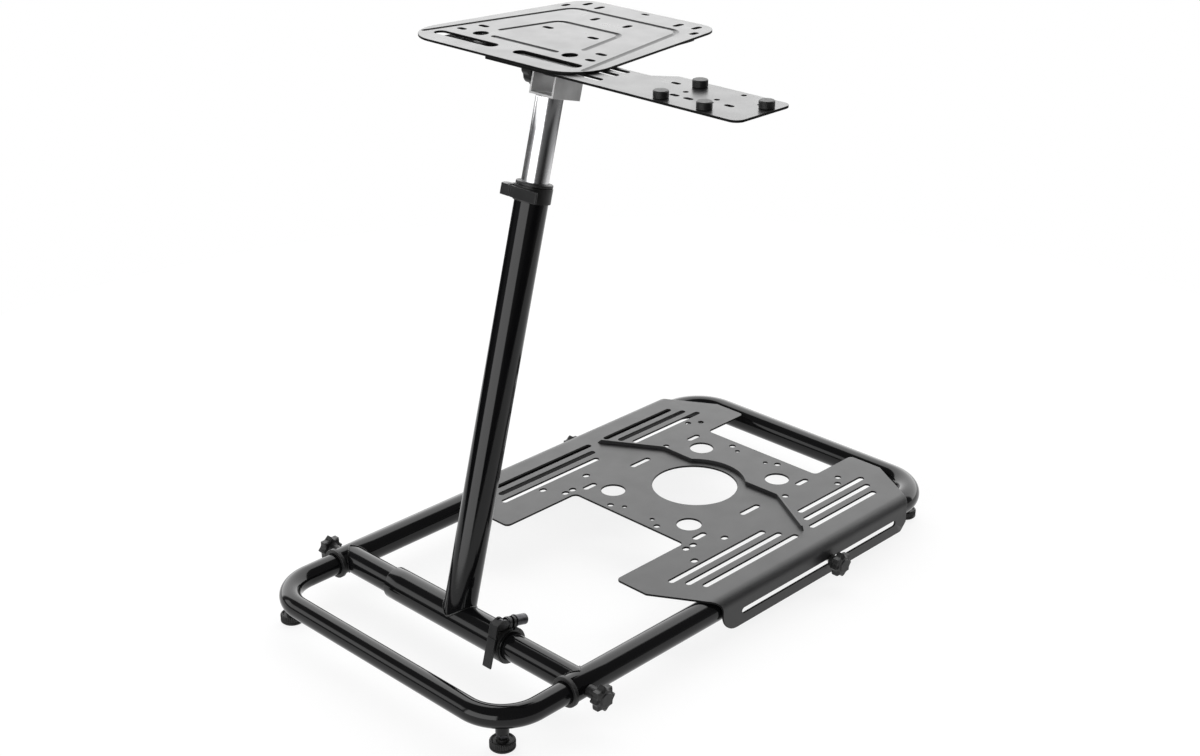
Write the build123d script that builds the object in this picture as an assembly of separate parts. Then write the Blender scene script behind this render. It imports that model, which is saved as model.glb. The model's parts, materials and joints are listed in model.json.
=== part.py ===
from build123d import *
import math
import os

# A stand for a racing wheel: a tube frame on four levelling feet, a pedal plate that slides on the
# frame, a folding mast with a telescoping post, and a tilting wheel plate with a sliding side arm.
# Millimetres. +X is the driver's right, +Y points from the driver to the pedals, +Z is up.
# The stand is drawn about its mid plane x = 0, with y = 0 at the pedal plate's round window and
# z = 0 on the floor, and is moved to the middle of its own footprint before it is written.

# Frame tubes
SIDE_TUBE_D = 38.0
SIDE_TUBE_WALL = 2.0
HOOP_TUBE_WALL = 2.0
SIDE_HALF_SPACING = 233.5
FRAME_BEND_R = 62.0
REAR_AXIS_Y = 267.5
CROSS_AXIS_Y = -482.5
MOUTH_Y = -505.0
HOOP_AXIS_Y = -620.0
HOOP_LEG_INNER_Y = -330.0
COLLAR_LENGTH = 5.5
COLLAR_LIP = 2.5
COLLAR_SPIGOT = 22.0
COLLAR_WALL = 1.2
SLIDE_CLEARANCE = 0.3
PIN_CLEARANCE = 0.05
HOOP_TUBE_D = SIDE_TUBE_D - 2 * (SIDE_TUBE_WALL + COLLAR_WALL + SLIDE_CLEARANCE)

# Levelling feet
FOOT_D = 34.0
FOOT_HEIGHT = 13.0
FOOT_STUD_D = 10.0
FRONT_FOOT_GAP = 17.0
FOOT_BOSS_D = 18.0
FOOT_BOSS_HEIGHT = 8.0
FOOT_EDGE = 1.2
FOOT_NECK_D = 17.0
FOOT_NECK_HEIGHT = 1.6
FOOT_GROOVE_HEIGHT = 4.5
FOOT_GROOVE_R = 0.8

# Star knobs on the frame
KNOB_D = 37.0
KNOB_THICKNESS = 14.0
KNOB_LOBES = 8
KNOB_LOBE_R = 4.0
KNOB_EDGE = 1.5
KNOB_CAP_D = 18.5
KNOB_CAP_T = 1.5
KNOB_HUB_D = 17.0
FRONT_KNOB_HUB = 17.0
PEDAL_KNOB_HUB = 10.0
KNOB_BOLT_INSIDE = 11.0
KNOB_BOLT_D = 8.0
FRONT_KNOB_Y = -485.0
PEDAL_KNOB_Y = 8.0
PEDAL_KNOB_DROP = 9.5

# Pedal plate
SHEET = 3.0
FLANGE_CLEARANCE = 2.0
PEDAL_HALF_WIDTH = SIDE_HALF_SPACING + SIDE_TUBE_D / 2 + FLANGE_CLEARANCE + SHEET
PEDAL_BEND_R = 5.0
FLANGE_DROP = 52.5
FLANGE_NEAR_Y = -230.0
FLANGE_FAR_Y = 205.0
FLANGE_NEAR_R = 30.0
FLANGE_FAR_CUT = 26.0
FLANGE_SLOT_NEAR_Y = -190.0
FLANGE_SLOT_FAR_Y = 164.0
FLANGE_SLOT_HEIGHT = 8.6
TONGUE_INNER_X = 110.0
TONGUE_NEAR_Y = -288.0
TONGUE_FAR_Y = 244.5
PLATE_NEAR_Y = -147.0
PLATE_FAR_Y = 156.5
TONGUE_CUT_X = 167.0
FOLD_NEAR_Y = -235.0
FOLD_FAR_Y = 191.5
TONGUE_CORNER_R = 8.0
WINDOW_R = 65.0
ROUND_HOLE_R = 18.5
ROUND_HOLES = [(77.0, -99.0), (77.0, 103.0)]
LIP_HEIGHT = 6.5
LIP_T = 3.0
LIP_BEND_R = 78.5
LIP_TURN_Y = 55.7
LIP_CORNERS = [(208.5, 2.1), (115.6, 56.7)]
LONG_SLOT_W = 7.0
LONG_SLOTS = [
    (211.0, -217.5, -13.5), (190.3, -230.0, -25.5), (169.2, -242.5, -38.0),
    (211.0, 18.0, 174.5), (190.3, 30.5, 186.5), (169.2, 42.5, 199.0),
]
SHORT_SLOTS = [(111.5, -114.0, 12.0), (111.5, 121.5, 12.0), (111.5, -2.5, 26.0)]
PEDAL_BOLT_HOLE_R = 3.3
PEDAL_BOLT_HOLES = [
    (141.0, -92.5), (154.0, -172.5), (122.5, -155.0), (122.5, -142.0), (47.0, -135.0),
    (28.5, -125.5), (46.5, 143.0), (28.5, 133.5), (122.5, 69.5), (154.5, 157.5), (141.0, 174.0),
]

# Mast, sleeve and post
MAST_LEAN = 15.0
SLEEVE_WALL = 3.7
SLEEVE_D = SIDE_TUBE_D + 2 * (SLIDE_CLEARANCE + SLEEVE_WALL)
SLEEVE_LEFT_X = -131.0
SLEEVE_RIGHT_X = 106.5
MAST_D = 45.0
MAST_WALL = 2.0
MAST_TOP = 598.0
BUSHING_WALL = 2.2
POST_D = MAST_D - 2 * (MAST_WALL + BUSHING_WALL + SLIDE_CLEARANCE)
POST_WALL = 2.0
POST_INNER_END = 330.0
POST_TOP = 713.0
BUSHING_LENGTH = 40.0
BUSHING_LIP = 2.0
BUSHING_RIM = 4.0

# Quick clamps
BASE_CLAMP_X = 95.0
CLAMP_WALL = 2.6
CLAMP_WIDTH = 20.0
CLAMP_BOLT_OUT = 7.7
CLAMP_EAR_R = 7.5
CLAMP_EAR_T = 5.0
CLAMP_GAP = 4.0
CLAMP_BOLT_D = 6.0
CLAMP_NUT_D = 15.0
CLAMP_NUT_LENGTH = 20.0
CLAMP_WASHER_D = 17.0
CLAMP_WASHER_T = 2.0
CAM_D = 14.0
CAM_PIN_D = 5.0
CAM_EYE_WIDTH = 8.0
CAM_EYE_D = 11.0
LEVER_WIDTH = 15.0
LEVER_T = 3.0
LEVER_OFF_BAND = 1.4
BASE_LEVER_REACH = 30.0
MAST_LEVER_REACH = 35.0
LEVER_NOTCH_X = 13.0
LEVER_NOTCH_W = 2.5
LEVER_NOTCH_DEPTH = 1.2
LEVER_EDGE = 1.0
SLIT_WIDTH = 3.0
SLIT_LENGTH = 18.0

# Head and wheel plate
HEAD_WALL = 3.0
HEAD_EAR_NEAR = 17.0
HEAD_EAR_FAR = 33.5
HEAD_EAR_HEIGHT = 52.0
HEAD_SIDE_ROOM = 0.6
PIVOT_RISE = 34.0
PIVOT_FORWARD = 5.0
HEAD_EAR_TOP = POST_TOP + HEAD_EAR_HEIGHT
HEAD_INNER_HALF = POST_D / 2 + HEAD_SIDE_ROOM
PIVOT_ALONG = POST_TOP + PIVOT_RISE
PIVOT_BOLT_D = 8.0
PIVOT_NUT_D = 15.0
PIVOT_NUT_T = 6.0
TILT_KNOB_D = 53.0
TILT_KNOB_T = 22.0
WHEEL_TOP_ABOVE_PIVOT = 44.2
WHEEL_SHEET = 3.0
WHEEL_NEAR_Y = -412.5
WHEEL_FAR_Y = -110.0
WHEEL_NEAR_HALF = 164.0
WHEEL_FAR_HALF = 121.5
WHEEL_NEAR_R = 52.0
WHEEL_FAR_R = 34.0
WHEEL_SLOTS = [(20.0, 126.0, -374.5, 11.5)]
WHEEL_ROUND_R = 10.0
WHEEL_ROUND_HOLES = [(80.0, -341.0)]
WHEEL_BOLT_SLOT = (12.0, 5.5)
WHEEL_BOLT_SLOTS = [
    (115.3, -341.0), (115.3, -154.5), (105.5, -312.0), (98.0, -130.0), (71.0, -135.0), (29.0, -186.0), (40.5, -260.0)]
WHEEL_BASE_BOLTS = WHEEL_BOLT_SLOTS[:2]
WHEEL_MIDDLE_SLOT_Y = -121.0
GROOVE_CUTTER_D = 9.0
GROOVE_DEPTH = 1.8
GROOVE_BEND_R = 20.0
WHEEL_GROOVES = [
    [(-143.5, -381.0), (-96.0, -158.0), (96.0, -158.0), (143.5, -381.0)],
    [(-75.0, -311.0), (-56.0, -224.0), (56.0, -224.0), (75.0, -311.0)],
    [(-56.0, -341.0), (56.0, -341.0)]]
BOLT_ROOM_D = 14.0
LAYER_GAP = 0.3
HINGE_PLATE_T = 4.0
HINGE_PLATE_HALF = 125.0
HINGE_PLATE_NEAR_Y = -372.0
HINGE_PLATE_FAR_Y = -150.0
SPACER_OFF_ARM = 8.0
SPACER_DEPTH = 16.0
LUG_T = 8.0
LUG_R = 9.5

# Side arm for a shifter
ARM_SHEET = 3.0
ARM_LEFT_X = 1.0
ARM_RIGHT_X = 404.0
ARM_NEAR_Y = -405.0
ARM_FAR_Y = -313.0
ARM_NECK_FAR_Y = -333.0
ARM_NECK_END_X = 207.0
ARM_STEP_END_X = 233.0
ARM_CORNER_R = 12.0
ARM_SLOT_W = 12.0
ARM_SLOT_LEFT_X = 24.0
ARM_SLOT_RIGHT_X = 180.0
ARM_SLOTS_Y = [-342.5, -361.0, -388.0]
ARM_STUD_D = 8.0
ARM_STUD_X = 100.0
ARM_NUT_D = 15.0
ARM_NUT_T = 7.0
ARM_HOLE_R = 3.3
ARM_HOLES = [(260.0, -367.0), (284.0, -358.0), (331.0, -358.0), (341.0, -323.0), (334.0, -372.0), (379.0, -340.0)]
ARM_BOLT_SLOT = (12.0, 6.0)
ARM_BOLT_SLOTS = [(251.0, -338.0), (284.0, -377.0), (305.0, -377.0), (357.0, -367.0)]
ARM_KNOB_D = 18.5
ARM_KNOB_HEIGHT = 14.0
ARM_KNOBS = [(280.0, -395.5), (281.0, -330.0), (345.0, -395.5), (392.0, -344.5)]

# Heights that follow from the sizes above
TUBE_AXIS_Z = FOOT_HEIGHT + FRONT_FOOT_GAP + HOOP_TUBE_D / 2
PEDAL_TOP_Z = TUBE_AXIS_Z + SIDE_TUBE_D / 2 + SLIDE_CLEARANCE + SHEET
CORNER_INSET = FRAME_BEND_R * (1 - math.cos(math.pi / 4))
LEAN = math.radians(MAST_LEAN)
PIVOT_Y = CROSS_AXIS_Y + PIVOT_ALONG * math.sin(LEAN) + PIVOT_FORWARD * math.cos(LEAN)
PIVOT_Z = TUBE_AXIS_Z + PIVOT_ALONG * math.cos(LEAN) - PIVOT_FORWARD * math.sin(LEAN)
WHEEL_TOP_Z = PIVOT_Z + WHEEL_TOP_ABOVE_PIVOT
ARM_TOP_Z = WHEEL_TOP_Z - WHEEL_SHEET - LAYER_GAP
HINGE_TOP_Z = ARM_TOP_Z - ARM_SHEET - LAYER_GAP


def tube_along(path, diameter, wall):
    """A round tube along a path, open at both ends."""
    start = Plane(origin=path @ 0, z_dir=path % 0)
    outer = sweep(start * Circle(diameter / 2), path=path)
    inner = sweep(start * Circle(diameter / 2 - wall), path=path)
    return outer - inner


def straight_tube(plane, diameter, wall, length):
    """A straight round tube that starts on a plane and runs along its normal."""
    ring = Circle(diameter / 2) - Circle(diameter / 2 - wall)
    return extrude(plane * ring, length)


def rod(plane, diameter, length):
    """A straight solid rod that starts on a plane and runs along its normal."""
    return extrude(plane * Circle(diameter / 2), length)


def side_plane(x, y, z, sign=1):
    """A plane whose normal is +X or -X."""
    return Plane(origin=(x, y, z), x_dir=(0, 1, 0), z_dir=(sign, 0, 0))


def plan_prism(points, z_low, z_high):
    """A prism over a closed plan outline."""
    outline = make_face(Polyline(*points, close=True))
    return extrude(Plane.XY.offset(z_low) * outline, z_high - z_low)


def slot_y(x, y_start, y_end, width, z_low, height):
    """A round-ended slot cutter that runs along Y."""
    length = y_end - y_start
    shape = Pos(x, (y_start + y_end) / 2) * Rot(0, 0, 90) * SlotOverall(length, width)
    return extrude(Plane.XY.offset(z_low) * shape, height)


def slot_x(x_start, x_end, y, width, z_low, height):
    """A round-ended slot cutter that runs along X."""
    shape = Pos((x_start + x_end) / 2, y) * SlotOverall(x_end - x_start, width)
    return extrude(Plane.XY.offset(z_low) * shape, height)


def star_knob(sign, x_seat, y, z, hub_length, bolt_reach):
    """A lobed hand knob with its hub and bolt, on the left or right side of the frame."""
    plane = side_plane(sign * x_seat, y, z, sign)
    hub = rod(plane, KNOB_HUB_D, hub_length)
    core_r = KNOB_D / 2 - KNOB_LOBE_R
    head = Circle(core_r) + [loc * Circle(KNOB_LOBE_R) for loc in PolarLocations(core_r, KNOB_LOBES)]
    grip = extrude(plane.offset(hub_length) * head, KNOB_THICKNESS)
    outer_face = grip.faces().sort_by(Axis.X)[-1 if sign > 0 else 0]
    grip = chamfer(outer_face.edges(), KNOB_EDGE)
    cap = rod(plane.offset(hub_length + KNOB_THICKNESS), KNOB_CAP_D, KNOB_CAP_T)
    bolt = rod(plane.offset(-bolt_reach), KNOB_BOLT_D, bolt_reach)
    return hub + grip + cap + bolt


def solid_path(path, diameter):
    """The solid round bar with a tube's path and outer diameter."""
    start = Plane(origin=path @ 0, z_dir=path % 0)
    return sweep(start * Circle(diameter / 2), path=path)


def levelling_foot(x, y, tube_radius, tube_bar):
    """A screw foot: a grooved floor disc, its stud and the boss that is coped to the tube above it."""
    disc = Pos(x, y, FOOT_HEIGHT / 2) * Cylinder(FOOT_D / 2, FOOT_HEIGHT)
    disc = chamfer(disc.edges().filter_by(GeomType.CIRCLE), FOOT_EDGE)
    disc -= Pos(x, y, FOOT_GROOVE_HEIGHT) * Torus(FOOT_D / 2, FOOT_GROOVE_R)
    disc += rod(Plane(origin=(x, y, FOOT_HEIGHT)), FOOT_NECK_D, FOOT_NECK_HEIGHT)
    crest = TUBE_AXIS_Z - tube_radius
    stud = rod(Plane(origin=(x, y, FOOT_HEIGHT)), FOOT_STUD_D, crest - FOOT_HEIGHT)
    boss_low = crest - FOOT_BOSS_HEIGHT
    boss = rod(Plane(origin=(x, y, boss_low)), FOOT_BOSS_D, TUBE_AXIS_Z - boss_low)
    return disc + stud + (boss - tube_bar)


def u_path(half, end_y, bar_y):
    """The centre line of a U-shaped frame tube with two legs along Y."""
    return FilletPolyline(
        (-half, end_y, TUBE_AXIS_Z), (-half, bar_y, TUBE_AXIS_Z),
        (half, bar_y, TUBE_AXIS_Z), (half, end_y, TUBE_AXIS_Z), radius=FRAME_BEND_R)


def make_frame():
    """The fixed frame: rear hoop, cross tube, mouth collars, rear feet and knobs."""
    parts = {}
    path = u_path(SIDE_HALF_SPACING, MOUTH_Y, REAR_AXIS_Y)
    hoop_bar = solid_path(path, SIDE_TUBE_D)
    parts["rear_hoop"] = tube_along(path, SIDE_TUBE_D, SIDE_TUBE_WALL)
    cross = straight_tube(
        side_plane(-SIDE_HALF_SPACING, CROSS_AXIS_Y, TUBE_AXIS_Z), SIDE_TUBE_D, SIDE_TUBE_WALL, 2 * SIDE_HALF_SPACING)
    for sign, name in ((-1, "left"), (1, "right")):
        x = sign * SIDE_HALF_SPACING
        side_body = Plane(origin=(x, CROSS_AXIS_Y - SIDE_TUBE_D, TUBE_AXIS_Z), z_dir=(0, 1, 0))
        cross -= rod(side_body, SIDE_TUBE_D, 2 * SIDE_TUBE_D)
        mouth = Plane(origin=(x, MOUTH_Y, TUBE_AXIS_Z), z_dir=(0, -1, 0))
        lip = rod(mouth, SIDE_TUBE_D + 2 * COLLAR_LIP, COLLAR_LENGTH)
        spigot = rod(mouth.offset(-COLLAR_SPIGOT), SIDE_TUBE_D - 2 * SIDE_TUBE_WALL, COLLAR_SPIGOT)
        bore = rod(mouth.offset(-COLLAR_SPIGOT - 1), HOOP_TUBE_D + 2 * SLIDE_CLEARANCE, COLLAR_SPIGOT + COLLAR_LENGTH + 2)
        bolt_hole = rod(
            side_plane(x, FRONT_KNOB_Y, TUBE_AXIS_Z, sign), KNOB_BOLT_D, SIDE_TUBE_D)
        parts[f"mouth_collar_{name}"] = lip + spigot - bore - bolt_hole
        parts["rear_hoop"] -= bolt_hole
        pedal_hole = rod(
            side_plane(x, PEDAL_KNOB_Y, TUBE_AXIS_Z - PEDAL_KNOB_DROP, sign), KNOB_BOLT_D, SIDE_TUBE_D)
        parts["rear_hoop"] -= pedal_hole
        seat = SIDE_HALF_SPACING + SIDE_TUBE_D / 2
        reach = seat - SIDE_HALF_SPACING - HOOP_TUBE_D / 2 - SLIDE_CLEARANCE
        parts[f"front_knob_{name}"] = star_knob(sign, seat, FRONT_KNOB_Y, TUBE_AXIS_Z, FRONT_KNOB_HUB, reach)
        plate_seat = PEDAL_HALF_WIDTH + SLIDE_CLEARANCE
        reach = plate_seat - SIDE_HALF_SPACING - SIDE_TUBE_D / 2 + KNOB_BOLT_INSIDE
        parts[f"pedal_knob_{name}"] = star_knob(
            sign, plate_seat, PEDAL_KNOB_Y, TUBE_AXIS_Z - PEDAL_KNOB_DROP, PEDAL_KNOB_HUB, reach)
        corner = SIDE_HALF_SPACING - CORNER_INSET
        corner_y = REAR_AXIS_Y - CORNER_INSET
        parts[f"rear_foot_{name}"] = levelling_foot(sign * corner, corner_y, SIDE_TUBE_D / 2, hoop_bar)
    parts["cross_tube"] = cross
    return parts


def make_front_hoop():
    """The front hoop that slides in the side tubes, with its two feet."""
    parts = {}
    path = u_path(SIDE_HALF_SPACING, HOOP_LEG_INNER_Y, HOOP_AXIS_Y)
    parts["front_hoop"] = tube_along(path, HOOP_TUBE_D, HOOP_TUBE_WALL)
    hoop_bar = solid_path(path, HOOP_TUBE_D)
    corner = SIDE_HALF_SPACING - CORNER_INSET
    corner_y = HOOP_AXIS_Y + CORNER_INSET
    for sign, name in ((-1, "left"), (1, "right")):
        parts[f"front_foot_{name}"] = levelling_foot(sign * corner, corner_y, HOOP_TUBE_D / 2, hoop_bar)
    return parts


def make_pedal_plate():
    """The folded pedal plate with its windows, slots and bolt holes."""
    top = PEDAL_TOP_Z
    half = PEDAL_HALF_WIDTH
    outer = Plane.XZ * (Pos(0, top - FLANGE_DROP / 2) * Rectangle(2 * half, FLANGE_DROP))
    body = extrude(outer, -(TONGUE_FAR_Y + 5))
    body += extrude(outer, -TONGUE_NEAR_Y + 5)
    folds = body.edges().filter_by(Axis.Y).group_by(Axis.Z)[-1]
    body = fillet(folds, PEDAL_BEND_R)
    inner = Plane.XZ * (Pos(0, top - SHEET - FLANGE_DROP / 2) * Rectangle(2 * (half - SHEET), FLANGE_DROP))
    core = extrude(inner, -(TONGUE_FAR_Y + 6))
    core += extrude(inner, -TONGUE_NEAR_Y + 6)
    folds = core.edges().filter_by(Axis.Y).group_by(Axis.Z)[-1]
    core = fillet(folds, PEDAL_BEND_R - SHEET)
    body -= core
    right = [
        (0, PLATE_NEAR_Y), (TONGUE_INNER_X, PLATE_NEAR_Y), (TONGUE_INNER_X, TONGUE_NEAR_Y),
        (TONGUE_CUT_X, TONGUE_NEAR_Y), (half, FOLD_NEAR_Y), (half, FOLD_FAR_Y),
        (TONGUE_CUT_X, TONGUE_FAR_Y), (TONGUE_INNER_X, TONGUE_FAR_Y), (TONGUE_INNER_X, PLATE_FAR_Y), (0, PLATE_FAR_Y)]
    left = [(-x, y) for x, y in reversed(right[1:-1])]
    plan = plan_prism(right + left, top - FLANGE_DROP - 1, top + 1)
    corners = [
        e for e in plan.edges().filter_by(Axis.Z)
        if abs(abs(e.center().X) - TONGUE_INNER_X) < 1]
    plan = fillet(corners, TONGUE_CORNER_R)
    body &= plan
    low = top - FLANGE_DROP
    side = make_face(Polyline(
        (TONGUE_NEAR_Y - 5, top + 2), (TONGUE_NEAR_Y - 5, top - SHEET - 1), (FLANGE_NEAR_Y, top - SHEET - 1),
        (FLANGE_NEAR_Y, low), (FLANGE_FAR_Y - FLANGE_FAR_CUT, low), (FLANGE_FAR_Y, low + FLANGE_FAR_CUT),
        (FLANGE_FAR_Y, top - SHEET - 1), (TONGUE_FAR_Y + 5, top - SHEET - 1), (TONGUE_FAR_Y + 5, top + 2), close=True))
    side_prism = extrude(Plane.YZ.offset(-half - 5) * side, 2 * half + 10)
    lower_corner = [
        e for e in side_prism.edges().filter_by(Axis.X)
        if abs(e.center().Y - FLANGE_NEAR_Y) < 1 and abs(e.center().Z - low) < 1]
    side_prism = fillet(lower_corner, FLANGE_NEAR_R)
    body &= side_prism
    cut_low = top - SHEET - 1
    cut_height = SHEET + 2
    cutters = [Pos(0, 0, cut_low + cut_height / 2) * Cylinder(WINDOW_R, cut_height)]
    for sign in (-1, 1):
        for x, y in ROUND_HOLES:
            cutters.append(Pos(sign * x, y, cut_low + cut_height / 2) * Cylinder(ROUND_HOLE_R, cut_height))
        for x, y_start, y_end in LONG_SLOTS:
            cutters.append(slot_y(sign * x, y_start, y_end, LONG_SLOT_W, cut_low, cut_height))
        for x, y, length in SHORT_SLOTS:
            cutters.append(slot_y(sign * x, y - length / 2, y + length / 2, LONG_SLOT_W, cut_low, cut_height))
        for x, y in PEDAL_BOLT_HOLES:
            cutters.append(Pos(sign * x, y, cut_low + cut_height / 2) * Cylinder(PEDAL_BOLT_HOLE_R, cut_height))
        slot_length = FLANGE_SLOT_FAR_Y - FLANGE_SLOT_NEAR_Y
        slot_mid = (FLANGE_SLOT_FAR_Y + FLANGE_SLOT_NEAR_Y) / 2
        plane = side_plane(sign * (half - SHEET - 1), slot_mid, TUBE_AXIS_Z - PEDAL_KNOB_DROP, sign)
        cutters.append(extrude(plane * SlotOverall(slot_length, FLANGE_SLOT_HEIGHT), SHEET + 2))
    for cutter in cutters:
        body -= cutter
    return {"pedal_plate": body + heel_lip()}


def flat_bar(start, end, width):
    """A flat round-ended bar between two points of a plan."""
    run = Line(start, end)
    angle = math.degrees(math.atan2(end[1] - start[1], end[0] - start[0]))
    return Pos(*(run @ 0.5)) * Rot(0, 0, angle) * SlotCenterToCenter(run.length, width)


def heel_lip():
    """The low upright lip that passes behind the pedal plate's round window."""
    turn_x = math.sqrt(LIP_BEND_R ** 2 - LIP_TURN_Y ** 2)
    ring = Circle(LIP_BEND_R + LIP_T / 2) - Circle(LIP_BEND_R - LIP_T / 2)
    behind = Pos(0, LIP_TURN_Y + LIP_BEND_R) * Rectangle(2 * turn_x + LIP_T, 2 * LIP_BEND_R)
    plan = ring & behind
    for sign in (-1, 1):
        points = [(sign * x, y) for x, y in LIP_CORNERS + [(turn_x, LIP_TURN_Y)]]
        for start, end in zip(points, points[1:]):
            plan += flat_bar(start, end, LIP_T)
    return extrude(Plane.XY.offset(PEDAL_TOP_Z - SHEET / 2) * plan, LIP_HEIGHT + SHEET / 2)


def mast_frame(along=0.0):
    """The mast's own frame: its origin on the cross tube's axis, its z along the mast."""
    return Pos(0, CROSS_AXIS_Y, TUBE_AXIS_Z) * Rot(-MAST_LEAN, 0, 0) * Pos(0, 0, along)


def clamp_reach(inner_d):
    """The distance from the clamped tube's axis to the clamp's bolt."""
    return inner_d / 2 + CLAMP_BOLT_OUT


def cam_centre(inner_d):
    """The cam pin's place in a clamp's own frame, beside the washer on the lever's side."""
    y = CLAMP_GAP / 2 + CLAMP_EAR_T + CLAMP_WASHER_T + SLIDE_CLEARANCE + CAM_D / 2
    return clamp_reach(inner_d), y


def clamp_band(inner_d):
    """A split band about its own z axis, with two round-ended ears towards +X."""
    ring = Circle(inner_d / 2 + CLAMP_WALL)
    bolt_x = clamp_reach(inner_d)
    half_grip = CLAMP_GAP / 2 + CLAMP_EAR_T
    band = extrude(Plane.XY.offset(-CLAMP_WIDTH / 2) * ring, CLAMP_WIDTH)
    side = Plane(origin=(0, -half_grip, 0), x_dir=(1, 0, 0), z_dir=(0, 1, 0))
    ear = Pos(bolt_x, 0) * Circle(CLAMP_EAR_R) + Pos(bolt_x / 2, 0) * Rectangle(bolt_x, 2 * CLAMP_EAR_R)
    band += extrude(side * ear, 2 * half_grip)
    band -= extrude(Plane.XY.offset(-CLAMP_WIDTH) * Circle(inner_d / 2), 2 * CLAMP_WIDTH)
    band -= Pos(bolt_x, 0, 0) * Box(2 * bolt_x - inner_d / 2, CLAMP_GAP, 2 * CLAMP_WIDTH)
    band -= rod(side.offset(-1) * Pos(bolt_x, 0, 0), CLAMP_BOLT_D, 2 * half_grip + 2)
    return band


def clamp_bolt(inner_d):
    """The clamp's bolt with its washer, barrel nut, cam eye and cam pin."""
    bolt_x, cam_y = cam_centre(inner_d)
    half_grip = CLAMP_GAP / 2 + CLAMP_EAR_T
    nut_plane = Plane(origin=(bolt_x, -half_grip, 0), z_dir=(0, -1, 0))
    washer_plane = Plane(origin=(bolt_x, half_grip, 0), z_dir=(0, 1, 0))
    shank = rod(Plane(origin=(bolt_x, cam_y, 0), z_dir=(0, -1, 0)), CLAMP_BOLT_D, cam_y + half_grip + 4)
    flange = rod(nut_plane, CLAMP_WASHER_D, CLAMP_WASHER_T)
    nut = rod(nut_plane, CLAMP_NUT_D, CLAMP_NUT_LENGTH)
    washer = rod(washer_plane, CAM_D, CLAMP_WASHER_T)
    eye = Pos(bolt_x, cam_y, 0) * Cylinder(CAM_EYE_D / 2, CAM_EYE_WIDTH)
    pin = Pos(bolt_x, cam_y, 0) * Cylinder(CAM_PIN_D / 2, LEVER_WIDTH)
    band = Cylinder(inner_d / 2 + CLAMP_WALL, 2 * CLAMP_WIDTH)
    return shank + (flange + nut + washer - band) + eye + pin


def clamp_lever(inner_d, reach):
    """The cam lever: a cam on the pin, drawn out tangent to a flat blade along the band, with a notch."""
    x, y = cam_centre(inner_d)
    near = inner_d / 2 + CLAMP_WALL + LEVER_OFF_BAND
    far = near + LEVER_T
    touch_y = (CAM_D / 2) ** 2 / (far - y)
    touch_x = math.sqrt((CAM_D / 2) ** 2 - touch_y ** 2)
    outline = make_face(Polyline(
        (x, y), (x - CAM_D / 2, y), (x - CAM_D / 2, near), (-reach, near), (-reach, far), (x, far),
        (x + touch_x, y + touch_y), close=True))
    outline += Pos(x, y) * Circle(CAM_D / 2)
    lever = extrude(Plane.XY.offset(-LEVER_WIDTH / 2) * outline, LEVER_WIDTH)
    upright = lever.edges().filter_by(Axis.Z)
    corner = upright.filter_by_position(Axis.X, x - LEVER_EDGE / 2, x + LEVER_EDGE / 2).sort_by(Axis.Y)[-1:]
    lever = fillet(upright.group_by(Axis.X)[0] + corner, LEVER_EDGE)
    eye_room = Pos(x, y, 0) * Cylinder(CAM_D / 2 + SLIDE_CLEARANCE, CAM_EYE_WIDTH + 2 * SLIDE_CLEARANCE)
    pin_bore = Pos(x, y, 0) * Cylinder(CAM_PIN_D / 2 + PIN_CLEARANCE, 2 * LEVER_WIDTH)
    notch = Pos(LEVER_NOTCH_X, far, 0) * Box(LEVER_NOTCH_W, 2 * LEVER_NOTCH_DEPTH, 2 * LEVER_WIDTH)
    return lever - eye_room - pin_bore - notch


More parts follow.
